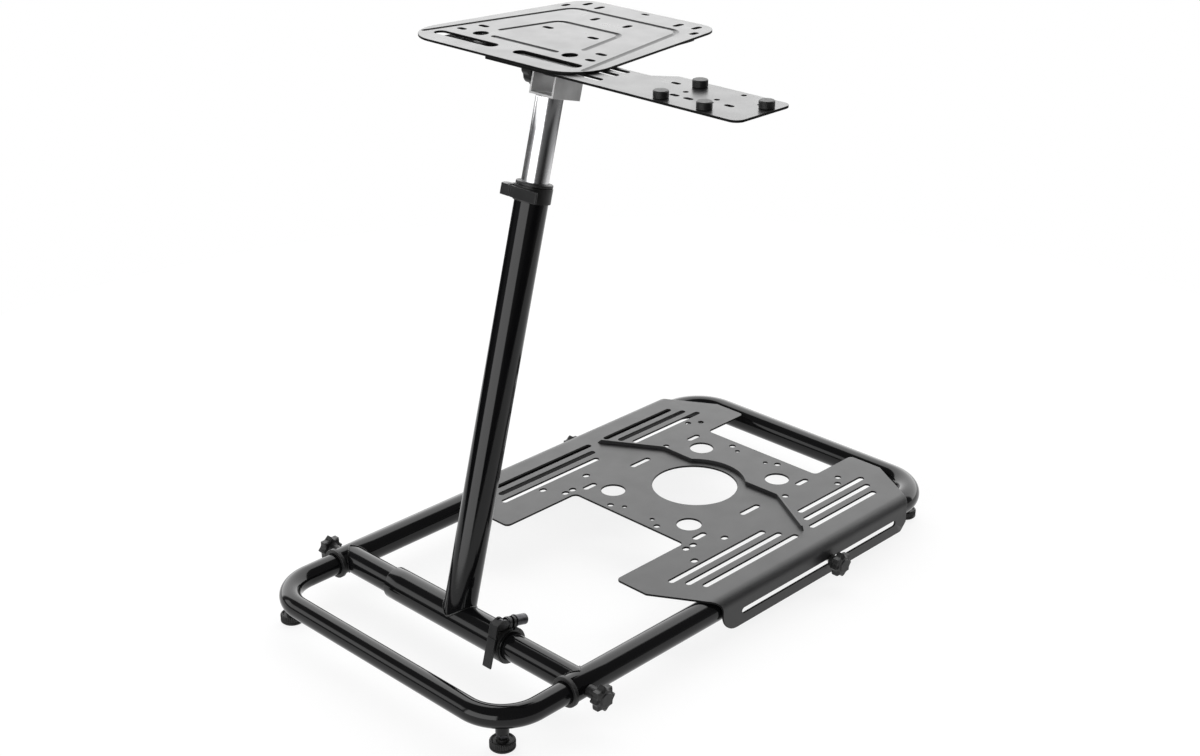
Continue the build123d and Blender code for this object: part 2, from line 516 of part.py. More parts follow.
def make_mast():
    """The folding mast: sleeve on the cross tube, leaning tube, bushing and clamps."""
    parts = {}
    sleeve = straight_tube(
        side_plane(SLEEVE_LEFT_X, CROSS_AXIS_Y, TUBE_AXIS_Z), SLEEVE_D, SLEEVE_WALL, SLEEVE_RIGHT_X - SLEEVE_LEFT_X)
    base = Plane(
        origin=(BASE_CLAMP_X, CROSS_AXIS_Y, TUBE_AXIS_Z), x_dir=(0, math.sin(LEAN), math.cos(LEAN)), z_dir=(1, 0, 0))
    slit_middle = SLEEVE_RIGHT_X - BASE_CLAMP_X - SLIT_LENGTH / 2
    sleeve -= base * (Pos(SLEEVE_D / 2, 0, slit_middle) * Box(SLEEVE_D / 2, SLIT_WIDTH, SLIT_LENGTH))
    parts["mast_sleeve"] = sleeve
    tube = extrude(Circle(MAST_D / 2) - Circle(MAST_D / 2 - MAST_WALL), MAST_TOP)
    tube -= Pos(-MAST_D / 2, 0, MAST_TOP - SLIT_LENGTH / 2) * Box(MAST_D / 2, SLIT_WIDTH, SLIT_LENGTH)
    tube = mast_frame() * tube
    tube -= rod(side_plane(-MAST_D, CROSS_AXIS_Y, TUBE_AXIS_Z), SLEEVE_D, 2 * MAST_D)
    low = mast_frame() * (Pos(0, 0, -SLEEVE_D) * Box(2 * SLEEVE_D, 2 * SLEEVE_D, 2 * SLEEVE_D))
    parts["mast_tube"] = tube - low
    bush = extrude(Plane.XY.offset(MAST_TOP) * Circle(MAST_D / 2 + BUSHING_LIP), BUSHING_RIM)
    bush += extrude(Plane.XY.offset(MAST_TOP - BUSHING_LENGTH) * Circle(MAST_D / 2 - MAST_WALL), BUSHING_LENGTH)
    bush -= extrude(Plane.XY.offset(MAST_TOP - BUSHING_LENGTH) * Circle(POST_D / 2 + SLIDE_CLEARANCE), BUSHING_LENGTH + BUSHING_RIM)
    parts["mast_bushing"] = mast_frame() * bush
    upper = mast_frame(MAST_TOP - CLAMP_WIDTH / 2 - 1) * Rot(0, 0, 180)
    parts["mast_clamp_band"] = upper * clamp_band(MAST_D)
    parts["mast_clamp_bolt"] = upper * clamp_bolt(MAST_D)
    parts["base_clamp_band"] = base * clamp_band(SLEEVE_D)
    parts["base_clamp_bolt"] = base * clamp_bolt(SLEEVE_D)
    levers = {
        "mast_clamp_lever": upper * clamp_lever(MAST_D, MAST_LEVER_REACH),
        "base_clamp_lever": base * clamp_lever(SLEEVE_D, BASE_LEVER_REACH)}
    return parts, levers


def make_post():
    """The telescoping post with the head bracket, pivot bolt and tilt knob."""
    parts = {}
    ring = Circle(POST_D / 2) - Circle(POST_D / 2 - POST_WALL)
    parts["post_tube"] = mast_frame() * extrude(Plane.XY.offset(POST_INNER_END) * ring, POST_TOP - POST_INNER_END)
    depth = HEAD_EAR_NEAR + HEAD_EAR_FAR
    height = HEAD_EAR_TOP - POST_TOP
    middle_y = (HEAD_EAR_FAR - HEAD_EAR_NEAR) / 2
    outer_half = HEAD_INNER_HALF + HEAD_WALL
    outer = Pos(0, middle_y, POST_TOP + height / 2) * Box(2 * outer_half, depth, height)
    gap = Pos(0, middle_y, POST_TOP + HEAD_WALL + height / 2) * Box(2 * HEAD_INNER_HALF, depth + 2, height)
    bracket = mast_frame() * (outer - gap)
    bracket -= rod(side_plane(-2 * outer_half, PIVOT_Y, PIVOT_Z), PIVOT_BOLT_D, 4 * outer_half)
    parts["head_bracket"] = bracket
    shank = rod(side_plane(-outer_half, PIVOT_Y, PIVOT_Z), PIVOT_BOLT_D, 2 * outer_half)
    head = rod(side_plane(outer_half, PIVOT_Y, PIVOT_Z), PIVOT_NUT_D, PIVOT_NUT_T)
    parts["pivot_bolt"] = shank + head
    parts["tilt_knob"] = rod(side_plane(-outer_half, PIVOT_Y, PIVOT_Z, -1), TILT_KNOB_D, TILT_KNOB_T)
    return parts


def groove_cutter(points):
    """A round bar with ball ends, sunk along the wheel plate's top to press one groove."""
    z = WHEEL_TOP_Z + GROOVE_CUTTER_D / 2 - GROOVE_DEPTH
    corners = [(x, y, z) for x, y in points]
    path = FilletPolyline(*corners, radius=GROOVE_BEND_R) if len(corners) > 2 else Line(*corners)
    cutter = solid_path(path, GROOVE_CUTTER_D)
    for end in (corners[0], corners[-1]):
        cutter += Pos(*end) * Sphere(GROOVE_CUTTER_D / 2)
    return cutter


def make_wheel_deck():
    """The wheel plate with its hinge plate, spacer and the studs that hold the side arm."""
    parts = {}
    low = WHEEL_TOP_Z - WHEEL_SHEET
    points = [
        (-WHEEL_NEAR_HALF, WHEEL_NEAR_Y), (WHEEL_NEAR_HALF, WHEEL_NEAR_Y),
        (WHEEL_FAR_HALF, WHEEL_FAR_Y), (-WHEEL_FAR_HALF, WHEEL_FAR_Y)]
    plate = plan_prism(points, low, WHEEL_TOP_Z)
    upright = plate.edges().filter_by(Axis.Z)
    plate = fillet(upright.group_by(Axis.Y)[0], WHEEL_NEAR_R)
    upright = plate.edges().filter_by(Axis.Z)
    plate = fillet(upright.group_by(Axis.Y)[-1], WHEEL_FAR_R)
    for sign in (-1, 1):
        for x_in, x_out, y, width in WHEEL_SLOTS:
            ends = sorted((sign * x_in, sign * x_out))
            plate -= slot_x(ends[0], ends[1], y, width, low - 1, WHEEL_SHEET + 2)
        for x, y in WHEEL_ROUND_HOLES:
            plate -= Pos(sign * x, y, low) * Cylinder(WHEEL_ROUND_R, 4 * WHEEL_SHEET)
        length, width = WHEEL_BOLT_SLOT
        for x, y in WHEEL_BOLT_SLOTS:
            plate -= slot_x(sign * x - length / 2, sign * x + length / 2, y, width, low - 1, WHEEL_SHEET + 2)
    length, width = WHEEL_BOLT_SLOT
    plate -= slot_x(-length / 2, length / 2, WHEEL_MIDDLE_SLOT_Y, width, low - 1, WHEEL_SHEET + 2)
    for points in WHEEL_GROOVES:
        plate -= groove_cutter(points)
    parts["wheel_plate"] = plate
    hinge_low = HINGE_TOP_Z - HINGE_PLATE_T
    hinge_depth = HINGE_PLATE_FAR_Y - HINGE_PLATE_NEAR_Y
    hinge = Pos(0, (HINGE_PLATE_FAR_Y + HINGE_PLATE_NEAR_Y) / 2, HINGE_TOP_Z - HINGE_PLATE_T / 2) * Box(
        2 * HINGE_PLATE_HALF, hinge_depth, HINGE_PLATE_T)
    rise = hinge_low + HINGE_PLATE_T / 2 - PIVOT_Z
    hinge += Pos(0, PIVOT_Y, PIVOT_Z + rise / 2) * Box(LUG_T, 2 * LUG_R, rise)
    boss_half = HEAD_INNER_HALF - SLIDE_CLEARANCE
    hinge += rod(side_plane(-boss_half, PIVOT_Y, PIVOT_Z), 2 * LUG_R, 2 * boss_half)
    for x, y in WHEEL_BASE_BOLTS:
        for sign in (-1, 1):
            hinge -= rod(Plane(origin=(sign * x, y, hinge_low - 1)), BOLT_ROOM_D, HINGE_PLATE_T + 2)
    hinge -= rod(side_plane(-2 * boss_half, PIVOT_Y, PIVOT_Z), PIVOT_BOLT_D + 2 * PIN_CLEARANCE, 4 * boss_half)
    spacer_y = ARM_FAR_Y + SPACER_OFF_ARM + SPACER_DEPTH / 2
    spacer_z = (low + HINGE_TOP_Z) / 2
    parts["deck_spacer"] = Pos(0, spacer_y, spacer_z) * Box(2 * HINGE_PLATE_HALF, SPACER_DEPTH, low - HINGE_TOP_Z)
    for index, y in enumerate(ARM_SLOTS_Y[:2], start=1):
        stud_low = hinge_low - ARM_NUT_T
        stud = rod(Plane(origin=(ARM_STUD_X, y, stud_low)), ARM_STUD_D, low - stud_low)
        hinge -= stud
        nut = rod(Plane(origin=(ARM_STUD_X, y, stud_low)), ARM_NUT_D, ARM_NUT_T)
        parts[f"arm_stud_{index}"] = stud + nut
    parts["hinge_plate"] = hinge
    return parts


def make_side_arm():
    """The sliding side arm with its four hand nuts."""
    parts = {}
    low = ARM_TOP_Z - ARM_SHEET
    points = [
        (ARM_LEFT_X, ARM_NEAR_Y), (ARM_RIGHT_X, ARM_NEAR_Y), (ARM_RIGHT_X, ARM_FAR_Y),
        (ARM_STEP_END_X, ARM_FAR_Y), (ARM_NECK_END_X, ARM_NECK_FAR_Y), (ARM_LEFT_X, ARM_NECK_FAR_Y)]
    plate = plan_prism(points, low, ARM_TOP_Z)
    ends = plate.edges().filter_by(Axis.Z).group_by(Axis.X)
    plate = fillet(ends[-1], ARM_CORNER_R)
    for y in ARM_SLOTS_Y:
        plate -= slot_x(ARM_SLOT_LEFT_X, ARM_SLOT_RIGHT_X, y, ARM_SLOT_W, low - 1, ARM_SHEET + 2)
    length, width = ARM_BOLT_SLOT
    for x, y in ARM_BOLT_SLOTS:
        plate -= slot_x(x - length / 2, x + length / 2, y, width, low - 1, ARM_SHEET + 2)
    for x, y in ARM_HOLES:
        plate -= Pos(x, y, low) * Cylinder(ARM_HOLE_R, 4 * ARM_SHEET)
    parts["shifter_arm"] = plate
    for index, (x, y) in enumerate(ARM_KNOBS, start=1):
        parts[f"arm_knob_{index}"] = rod(Plane(origin=(x, y, ARM_TOP_Z)), ARM_KNOB_D, ARM_KNOB_HEIGHT)
    return parts


def make_stand():
    """Every part by node name, about the stand's mid plane."""
    parts = {}
    parts.update(make_frame())
    parts.update(make_front_hoop())
    parts.update(make_pedal_plate())
    mast, levers = make_mast()
    parts.update(mast)
    parts.update(levers)
    parts.update(make_post())
    parts.update(make_wheel_deck())
    parts.update(make_side_arm())
    return parts


def footprint_shift(parts):
    """The move that puts the middle of the stand's footprint on the origin."""
    boxes = [shape.bounding_box() for shape in parts.values()]
    x = (min(b.min.X for b in boxes) + max(b.max.X for b in boxes)) / 2
    y = (min(b.min.Y for b in boxes) + max(b.max.Y for b in boxes)) / 2
    return -x, -y


def main():
    os.makedirs("parts", exist_ok=True)
    parts = make_stand()
    shift_x, shift_y = footprint_shift(parts)
    print(f"shift {shift_x:.4f} {shift_y:.4f}")
    for name, shape in parts.items():
        export_step(Pos(shift_x, shift_y, 0) * shape, f"parts/{name}.step")


main()
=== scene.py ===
"""A racing wheel stand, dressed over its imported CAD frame.

Sizes are millimetres in the stand's own frame: x = 0 is its mid plane, y = 0 the middle of the
pedal plate's round window and z = 0 the floor. SHIFT moves that frame to the row frame.
"""
import json
import logging
import math
from dataclasses import dataclass, field
from enum import Enum
from typing import Any, Callable, Optional, Sequence

import bmesh
import bpy
import numpy as np
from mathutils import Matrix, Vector, geometry

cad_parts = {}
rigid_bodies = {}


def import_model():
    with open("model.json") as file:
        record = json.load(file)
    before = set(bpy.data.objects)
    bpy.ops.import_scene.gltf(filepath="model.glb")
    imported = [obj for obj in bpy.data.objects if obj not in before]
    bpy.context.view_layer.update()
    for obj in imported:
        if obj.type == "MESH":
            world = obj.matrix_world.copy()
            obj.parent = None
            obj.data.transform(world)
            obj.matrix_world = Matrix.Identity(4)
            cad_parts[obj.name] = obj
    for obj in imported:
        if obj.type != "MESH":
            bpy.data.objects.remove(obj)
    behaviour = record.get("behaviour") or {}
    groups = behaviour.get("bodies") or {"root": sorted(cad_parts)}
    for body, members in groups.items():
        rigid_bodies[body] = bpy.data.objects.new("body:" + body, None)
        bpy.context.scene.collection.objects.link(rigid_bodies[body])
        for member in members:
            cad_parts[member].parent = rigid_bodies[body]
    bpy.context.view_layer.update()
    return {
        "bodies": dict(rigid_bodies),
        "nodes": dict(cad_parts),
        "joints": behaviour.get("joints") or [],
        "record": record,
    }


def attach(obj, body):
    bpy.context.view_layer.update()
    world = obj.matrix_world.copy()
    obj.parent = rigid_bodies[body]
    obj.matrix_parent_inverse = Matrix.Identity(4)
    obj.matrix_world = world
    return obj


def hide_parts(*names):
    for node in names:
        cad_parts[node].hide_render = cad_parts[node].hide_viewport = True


LOG = logging.getLogger("wheel_stand")
Array = np.ndarray
Tree = bpy.types.NodeTree
Socket = bpy.types.NodeSocket
Rows = Sequence[Sequence[float]]
Relief = Callable[[Array], Array]
Wobble = Callable[[Array, Array, Array], Array]

MM = 0.001
SHIFT = np.array([-59.5, 174.5, 0.0])
X, Y, Z = np.eye(3)
SIDES = ((-1, "left"), (1, "right"))
TUBE_AXIS_Z = 45.5
TUBE_WALL = 2.0
SHEET_T = 3.0
SIDE_HALF = 233.5
CROSS_Y = -482.5
LEAN = math.radians(15.0)
MAST_FOOT = np.array([0.0, CROSS_Y, TUBE_AXIS_Z])
MAST_DIR = np.array([0.0, math.sin(LEAN), math.cos(LEAN)])
MAST_FRONT = np.array([0.0, -math.cos(LEAN), math.sin(LEAN)])

# A turned form starts this near its axis, where a fan closes it.
NEAR_AXIS = 0.01
# The angles of a quarter round, and 1 - sine and 1 - cosine there: what it lacks of its full
# reach, and how far it has fallen away.
QUARTER = np.linspace(0.0, np.pi / 2, 4)
SHORT = 1 - np.sin(QUARTER)
FALL = 1 - np.cos(QUARTER)


# ---------------------------------------------------------------- finishes


def wire(node: bpy.types.Node, inputs: dict[Any, Any]) -> bpy.types.Node:
    """Gives each input of a node, by name or number, its value, or links it to another's output."""
    for key, value in inputs.items():
        if isinstance(value, Socket):
            node.id_data.links.new(value, node.inputs[key])
        else:
            node.inputs[key].default_value = value
    return node


def add_node(tree: Tree, kind: str, inputs: dict[Any, Any]) -> bpy.types.Node:
    """A new shader node of a kind, with its inputs set or linked."""
    return wire(tree.nodes.new(f"ShaderNode{kind}"), inputs)


def maths(tree: Tree, operation: str, *values: Any) -> Socket:
    """The result of a maths node on sockets or numbers."""
    node = add_node(tree, "Math", dict(enumerate(values)))
    node.operation = operation
    return node.outputs["Value"]


def times(socket: Socket, other: Any) -> Socket:
    """A socket's value times another's or a number."""
    return maths(socket.id_data, "MULTIPLY", socket, other)


class Pattern(Enum):
    """How a finish's fine pattern runs over the surface."""

    EVEN = (1.0, 1.0, 1.0)
    ALONG_Z = (1.0, 1.0, 0.05)


@dataclass(frozen=True)
class Finish:
    """A procedural finish: two tones mixed by noise, a roughness range and a fine bump.

    A tone is its red and green, then its blue. tone_scale is the tones' noise scale per metre, and
    grain is the bump's noise scale per metre, its height in millimetres and its strength.
    """

    name: str
    slot: str
    dark: tuple[float, float]
    light: tuple[float, float]
    rough: tuple[float, float]
    tone_scale: float
    grain: tuple[float, float, float]
    metallic: float = 0.0
    specular: float = 0.5
    coat: float = 0.0
    anisotropic: float = 0.0
    pattern: Pattern = Pattern.EVEN

    def material(self) -> bpy.types.Material:
        """Builds the material's nodes, or gives the one already made under this name."""
        made = bpy.data.materials.get(self.name)
        if made is not None:
            return made
        made = bpy.data.materials.new(self.name)
        made.use_nodes = True
        tree = made.node_tree
        place = add_node(tree, "TexCoord", {}).outputs["Object"]
        spot = add_node(tree, "Mapping", {"Vector": place, "Scale": self.pattern.value}).outputs["Vector"]

        def noise(scale: float, detail: float) -> Socket:
            """A noise's value on the stretched object coordinates."""
            return add_node(tree, "TexNoise", {"Vector": spot, "Scale": scale, "Detail": detail}).outputs["Fac"]

        tone = add_node(tree, "ValToRGB", {"Fac": noise(self.tone_scale, 3.0)})
        ends = ((0.3, self.dark), (0.7, self.light))
        for element, (position, (grey, blue)) in zip(tone.color_ramp.elements, ends):
            element.position, element.color = position, (grey, grey, blue, 1.0)
        rough = add_node(tree, "MapRange", {
            "Value": noise(self.tone_scale * 2.3, 4.0), "From Min": 0.3, "From Max": 0.7,
            "To Min": self.rough[0], "To Max": self.rough[1]})
        scale, depth, strength = self.grain
        bump = add_node(tree, "Bump", {"Height": noise(scale, 2.0), "Distance": depth * MM, "Strength": strength})
        wire(tree.nodes["Principled BSDF"], {
            "Base Color": tone.outputs["Color"], "Roughness": rough.outputs["Result"],
            "Normal": bump.outputs["Normal"], "Metallic": self.metallic, "Specular IOR Level": self.specular,
            "Coat Weight": self.coat, "Coat Roughness": 0.1, "Anisotropic": self.anisotropic})
        return made


TUBE_BLACK = Finish("gloss black paint", "gloss_black_tube", (0.003, 0.0033), (0.005, 0.0054), (0.07, 0.12),
                    9.0, (420.0, 0.02, 0.1), specular=0.27)
SHEET_BLACK = Finish("satin black powder coat", "black_sheet", (0.013, 0.0135), (0.018, 0.0185), (0.34, 0.4),
                     14.0, (1700.0, 0.04, 0.35), specular=0.38)
DECK_BLACK = Finish("deck powder coat", "black_sheet", (0.015, 0.0155), (0.02, 0.0205), (0.27, 0.33),
                    12.0, (1700.0, 0.04, 0.3), specular=0.62)
KNOB_PLASTIC = Finish("moulded black plastic", "black_plastic", (0.007, 0.007), (0.011, 0.011), (0.42, 0.52),
                      120.0, (2600.0, 0.04, 0.2), specular=0.36)
FOOT_PLASTIC = Finish("foot plastic", "foot_black", (0.006, 0.006), (0.01, 0.01), (0.42, 0.55),
                      90.0, (1900.0, 0.04, 0.2), specular=0.3)
CLAMP_CAST = Finish("cast black clamp", "clamp_black", (0.006, 0.006), (0.01, 0.01), (0.34, 0.44),
                    60.0, (1300.0, 0.04, 0.15), specular=0.32)
LEVER_PAINT = Finish("painted lever", "clamp_black", (0.008, 0.0083), (0.012, 0.0123), (0.3, 0.36),
                     50.0, (1500.0, 0.03, 0.12), specular=0.3)
# The cut edges' paint is a darker, less reflective copy of the plates' own: painted shade that keeps the edge walls
# black.
SHADED_EDGE = Finish("cut edge with painted shade", "black_sheet", (0.004, 0.004), (0.007, 0.007), (0.35, 0.45),
                  60.0, (1500.0, 0.03, 0.15), specular=0.12)
DARK_STEEL = Finish("blackened steel", "dark_steel", (0.03, 0.032), (0.06, 0.064), (0.25, 0.4),
                    150.0, (2400.0, 0.03, 0.25), metallic=1.0)
ZINC_STEEL = Finish("zinc plated steel", "dark_steel", (0.5, 0.5), (0.66, 0.65), (0.22, 0.36),
                    130.0, (2400.0, 0.03, 0.25), metallic=1.0)
CHROME = Finish("polished chrome", "chrome_post", (0.58, 0.59), (0.64, 0.65), (0.17, 0.22),
                30.0, (500.0, 0.01, 0.08), metallic=1.0, anisotropic=0.2, pattern=Pattern.ALONG_Z)
SILVER = Finish("satin silver casting", "silver_bracket", (0.4, 0.4), (0.5, 0.5), (0.34, 0.44),
                45.0, (1600.0, 0.04, 0.3), metallic=0.85)
WELD_BLACK = Finish("painted weld", "gloss_black_tube", (0.004, 0.004), (0.008, 0.008), (0.2, 0.3),
                    200.0, (900.0, 0.12, 0.5), specular=0.3, coat=0.1)
PAPER = Finish("pale studio paper", "", (0.17, 0.17), (0.19, 0.19), (0.8, 0.9),
               0.6, (60.0, 0.1, 0.05), specular=0.0)


# ---------------------------------------------------------------- meshes


@dataclass
class Shape:
    """Points in millimetres and faces, gathered patch by patch into one mesh."""

    points: list[Array] = field(default_factory=list)
    faces: list[Array] = field(default_factory=list)
    marks: list[int] = field(default_factory=list)
    mark: int = 0
    count: int = 0

    def add(self, points: Array, faces: Array) -> None:
        """Adds a patch of points with its faces, one row of indices a face, under the present mark."""
        self.points.append(points.reshape(-1, 3))
        self.faces.append(np.asarray(faces) + self.count)
        self.marks += [self.mark] * len(faces)
        self.count += len(self.points[-1])

    def grid(self, points: Array, ring_rows: bool = False, poles: bool = False) -> "Shape":
        """Adds a grid of points as quads, its last column joined to its first.

        Args:
            points: rows by columns by 3.
            ring_rows: the last row joins the first.
            poles: each end row is closed with a fan to its own middle.

        Returns:
            The shape itself.
        """
        rows, cols = points.shape[:2]
        i = np.arange(rows if ring_rows else rows - 1)[:, None]
        j = np.arange(cols)[None, :]
        i2, j2 = (i + 1) % rows, (j + 1) % cols
        quads = np.stack([i * cols + j, i * cols + j2, i2 * cols + j2, i2 * cols + j], axis=-1)
        start = self.count
        self.add(points, quads.reshape(-1, 4))
        for row in (0, rows - 1) if poles else ():
            ring = start + row * cols + np.arange(cols) - self.count
            self.add(points[row].mean(axis=0), np.stack([ring, np.roll(ring, -1), 0 * ring], axis=-1))
        return self

    def moved(self, rule: Callable[[Array], Array]) -> "Shape":
        """The shape itself, its points moved by a rule."""
        self.points = [rule(points) for points in self.points]
        return self

    def make(self, name: str, finish: Finish, body: str, replaces: Sequence[str] = (),
             sharp: float = 32.0, weight: int = 80, edge: Optional[Finish] = None) -> None:
        """Makes the piece in the row frame, with its normals outwards.

        Args:
            name, finish: the piece's name and finish.
            body, replaces: the CAD body that it moves with and the CAD nodes that it stands for.
            sharp: edges that turn more than this many degrees stay crisp.
            weight: how far large faces keep their own normals, or 0 for none.
            edge: the finish of the faces marked 1, or none; the plates give their cut edge walls a darker, less
                reflective copy of their paint, which is painted shade.
        """
        mesh = bpy.data.meshes.new(name)
        points = (np.concatenate(self.points) + SHIFT) * MM
        mesh.from_pydata(points.tolist(), [], [row for block in self.faces for row in block.tolist()])
        mesh.polygons.foreach_set("material_index", self.marks)
        shell = bmesh.new()
        shell.from_mesh(mesh)
        bmesh.ops.remove_doubles(shell, verts=shell.verts, dist=1e-6)
        bmesh.ops.recalc_face_normals(shell, faces=shell.faces)
        shell.to_mesh(mesh)
        shell.free()
        marks = np.zeros(len(mesh.polygons), dtype=np.int32)
        mesh.polygons.foreach_get("material_index", marks)
        finish_piece(name, mesh, finish, body, replaces, sharp, 0.0, weight)
        if edge is not None:
            mesh.materials.append(edge.material())
            mesh.polygons.foreach_set("material_index", marks)


def finish_piece(name: str, mesh: bpy.types.Mesh, finish: Finish, body: str, replaces: Sequence[str],
                 sharp: float, bevel: float, weight: int) -> None:
    """Links a mesh as a piece with its finish, smooth shading and body.

    Args:
        mesh: its mesh, in the row frame.
        bevel: the rounding of its sharp edges in millimetres, or 0 for none.
        name, finish, body, replaces, sharp, weight: as for Shape.make.
    """
    mesh.shade_smooth()
    mesh.set_sharp_from_angle(angle=math.radians(sharp))
    mesh.materials.clear()
    mesh.materials.append(finish.material())
    piece = bpy.data.objects.new(name.replace(" ", "_"), mesh)
    bpy.context.scene.collection.objects.link(piece)
    if bevel:
        edge = piece.modifiers.new("rounded edges", "BEVEL")
        edge.width, edge.segments = bevel * MM, 2
        edge.limit_method, edge.angle_limit = "ANGLE", math.radians(sharp)
    if weight:
        keep = piece.modifiers.new("even shading", "WEIGHTED_NORMAL")
        keep.keep_sharp, keep.weight = True, weight
    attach(piece, body)
    if replaces:
        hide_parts(*replaces)
    LOG.info("%s: %d faces on %s", piece.name, len(mesh.polygons), body)


def refined(frame: dict, node: str, name: str, finish: Finish, body: str, bevel: float,
            trim: Optional[Relief] = None) -> None:
    """A merged copy of a CAD node with its edges rounded, which stands for that node.

        bevel: the rounding of its edges in millimetres.
        trim: moves the points, in the stand's own millimetres, or none.
    """
    mesh = frame["nodes"][node].data.copy()
    if trim is not None:
        spots = np.zeros(len(mesh.vertices) * 3)
        mesh.vertices.foreach_get("co", spots)
        moved = trim(spots.reshape(-1, 3) / MM - SHIFT)
        mesh.vertices.foreach_set("co", ((moved + SHIFT) * MM).ravel())
    shell = bmesh.new()
    shell.from_mesh(mesh)
    bmesh.ops.remove_doubles(shell, verts=shell.verts, dist=2e-6)
    bmesh.ops.dissolve_limit(shell, angle_limit=math.radians(0.6), verts=shell.verts, edges=shell.edges)
    shell.to_mesh(mesh)
    shell.free()
    finish_piece(name, mesh, finish, body, [node], 32.0, bevel, 50)


def unit(v: Array) -> Array:
    """Each row divided by its own length."""
    return v / np.linalg.norm(v, axis=-1, keepdims=True)


def turns(count: int) -> Array:
    """count angles spread evenly over a full turn, from 0."""
    return np.linspace(0.0, 2.0 * np.pi, count, endpoint=False)


def wheel(t: Array, e1: Array, e2: Array) -> Array:
    """cos t * e1 + sin t * e2 at every angle, as a row of angles for each row of the vectors."""
    return np.cos(t)[:, None] * e1[..., None, :] + np.sin(t)[:, None] * e2[..., None, :]


def coped(radius: float, across: Array) -> Array:
    """How far a cylinder's skin is from its axis plane at a distance across: sqrt(R^2 - across^2)."""
    return np.sqrt(np.maximum(radius ** 2 - across ** 2, 0.0))


def eased(x: Array) -> Array:
    """A share x, held between 0 and 1."""
    return np.clip(x, 0.0, 1.0)


def raised(t: Array) -> Array:
    """A raised cosine: 0.5 - 0.5 * cos t, from 0 to 1 and back in a turn."""
    return 0.5 - 0.5 * np.cos(t)


def measured(path: Array) -> Array:
    """The distance along a path at each of its points: the running sum of its runs' lengths."""
    return np.concatenate([[0.0], np.cumsum(np.linalg.norm(np.diff(path, axis=0), axis=1))])


def frames_along(path: Array, up: Array) -> tuple[Array, Array, Array]:
    """Tangent, side and upward unit vectors at each point of a path.

    The tangent is the central difference of the points, side = tangent x up, and the last vector
    is side x tangent.
    """
    tangent = unit(np.gradient(path, axis=0))
    side = unit(np.cross(tangent, up))
    return tangent, side, np.cross(side, tangent)


def tube(path: Array, up: Array, outer: float, wall: float, edge: float = 0.5, around: int = 64) -> Shape:
    """A round tube's whole skin as one closed grid.

    Along the profile, the radius is the outer radius over the whole path, then a quarter round of
    radius edge at the far end, the inner radius back to the start, and a quarter round there. At
    angle t the point is centre + offset * tangent + radius * (cos t * side + sin t * up).

    Args:
        path, up: the centre line, and a direction that is never along it.
        outer, wall: the outer radius and the wall's thickness.
        edge, around: the rounding of the rims and the points in a turn.

    Returns:
        The shape.
    """
    last, inner = len(path) - 1, outer - wall
    middle = np.arange(1, last)
    flat = 0.0 * middle
    start, end = np.full(4, 0), np.full(8, last)
    spot = np.concatenate([start, middle, end, middle[::-1], start])
    off = edge * np.concatenate([SHORT[::-1], flat, -SHORT, -SHORT[::-1], flat, SHORT])
    rad = np.concatenate([outer - edge * FALL[::-1], flat + outer, outer - edge * FALL,
                          inner + edge * FALL[::-1], flat + inner, inner + edge * FALL])
    tangent, side, lift = frames_along(path, up)
    ring = wheel(turns(around), side[spot], lift[spot])
    centre = path[spot] + off[:, None] * tangent[spot]
    return Shape().grid(centre[:, None, :] + rad[:, None, None] * ring, ring_rows=True)


def fillet_path(rows: Rows, step_deg: float, closed: bool = False) -> Array:
    """A polyline with each corner rounded by a circle's arc.

    At a corner with unit directions a in and b out, the arc of radius r starts r * tan(turn / 2)
    before it and is drawn about a centre that lies r to the inside of both runs.

    Args:
        rows: each corner's 2 or 3 coordinates and then its radius; 0 keeps it sharp.
        step_deg: the most that an arc turns between two points.
        closed: the last corner joins the first.

    Returns:
        The points in order.
    """
    table = np.asarray(rows, dtype=float)
    corners, total = table[:, :-1], len(table)
    points = []
    for k, (corner, radius) in enumerate(zip(corners, table[:, -1])):
        if (not closed and k in (0, total - 1)) or radius <= 0.0:
            points.append(corner[None, :])
            continue
        a = unit(corner - corners[k - 1])
        b = unit(corners[(k + 1) % total] - corner)
        turn = math.acos(float(np.clip(np.dot(a, b), -1.0, 1.0)))
        inward = unit(b - a * np.dot(a, b))
        centre = corner - a * radius * math.tan(turn / 2) + inward * radius
        t = np.linspace(0.0, turn, max(3, int(math.degrees(turn) / step_deg) + 2))[:, None]
        points.append(centre - inward * radius * np.cos(t) + a * radius * np.sin(t))
    return np.concatenate(points)


def divided(points: Array, longest: float, closed: bool = True) -> Array:
    """A loop or an open path with its long runs cut into equal parts no longer than longest."""
    nxt = np.roll(points, -1, axis=0)
    parts = np.maximum(1, np.ceil(np.linalg.norm(nxt - points, axis=1) / longest)).astype(int)
    if not closed:
        parts[-1] = 1
    start = np.repeat(np.arange(len(points)), parts)
    step = np.concatenate([np.arange(n) / n for n in parts])[:, None]
    return points[start] * (1 - step) + nxt[start] * step


def lathe(rows: Rows, origin: Array, axis: Array, around: int, wobble: Optional[Wobble] = None,
          step_deg: float = 18.0, hollow: bool = False) -> Shape:
    """A turned form: each point (radius, height) of a profile is carried round the axis.

    At angle t the point is origin + height * axis + radius * (1 + wobble) * (cos t * e1 + sin t * e2).

    Args:
        rows: the profile's corners, each with its radius, height and rounding.
        origin, axis: the point at height 0 and the axis, one long.
        around: the points in a turn.
        wobble: the relative change of radius at (angle, radius, height), or none.
        step_deg: the most that a rounding turns between two points.
        hollow: the profile closes on itself; else a fan closes each end.

    Returns:
        The shape.
    """
    e1 = unit(np.cross(Z if abs(axis[2]) < 0.9 else X, axis))
    t = turns(around)
    profile = fillet_path(rows, step_deg)
    rad, height = profile[:, :1], profile[:, 1:]
    if wobble is not None:
        rad = rad * (1.0 + wobble(t, rad, height))
    ring = wheel(t, e1, np.cross(axis, e1))
    points = origin + height[:, :, None] * axis + rad[:, :, None] * ring
    return Shape().grid(points, ring_rows=hollow, poles=not hollow)


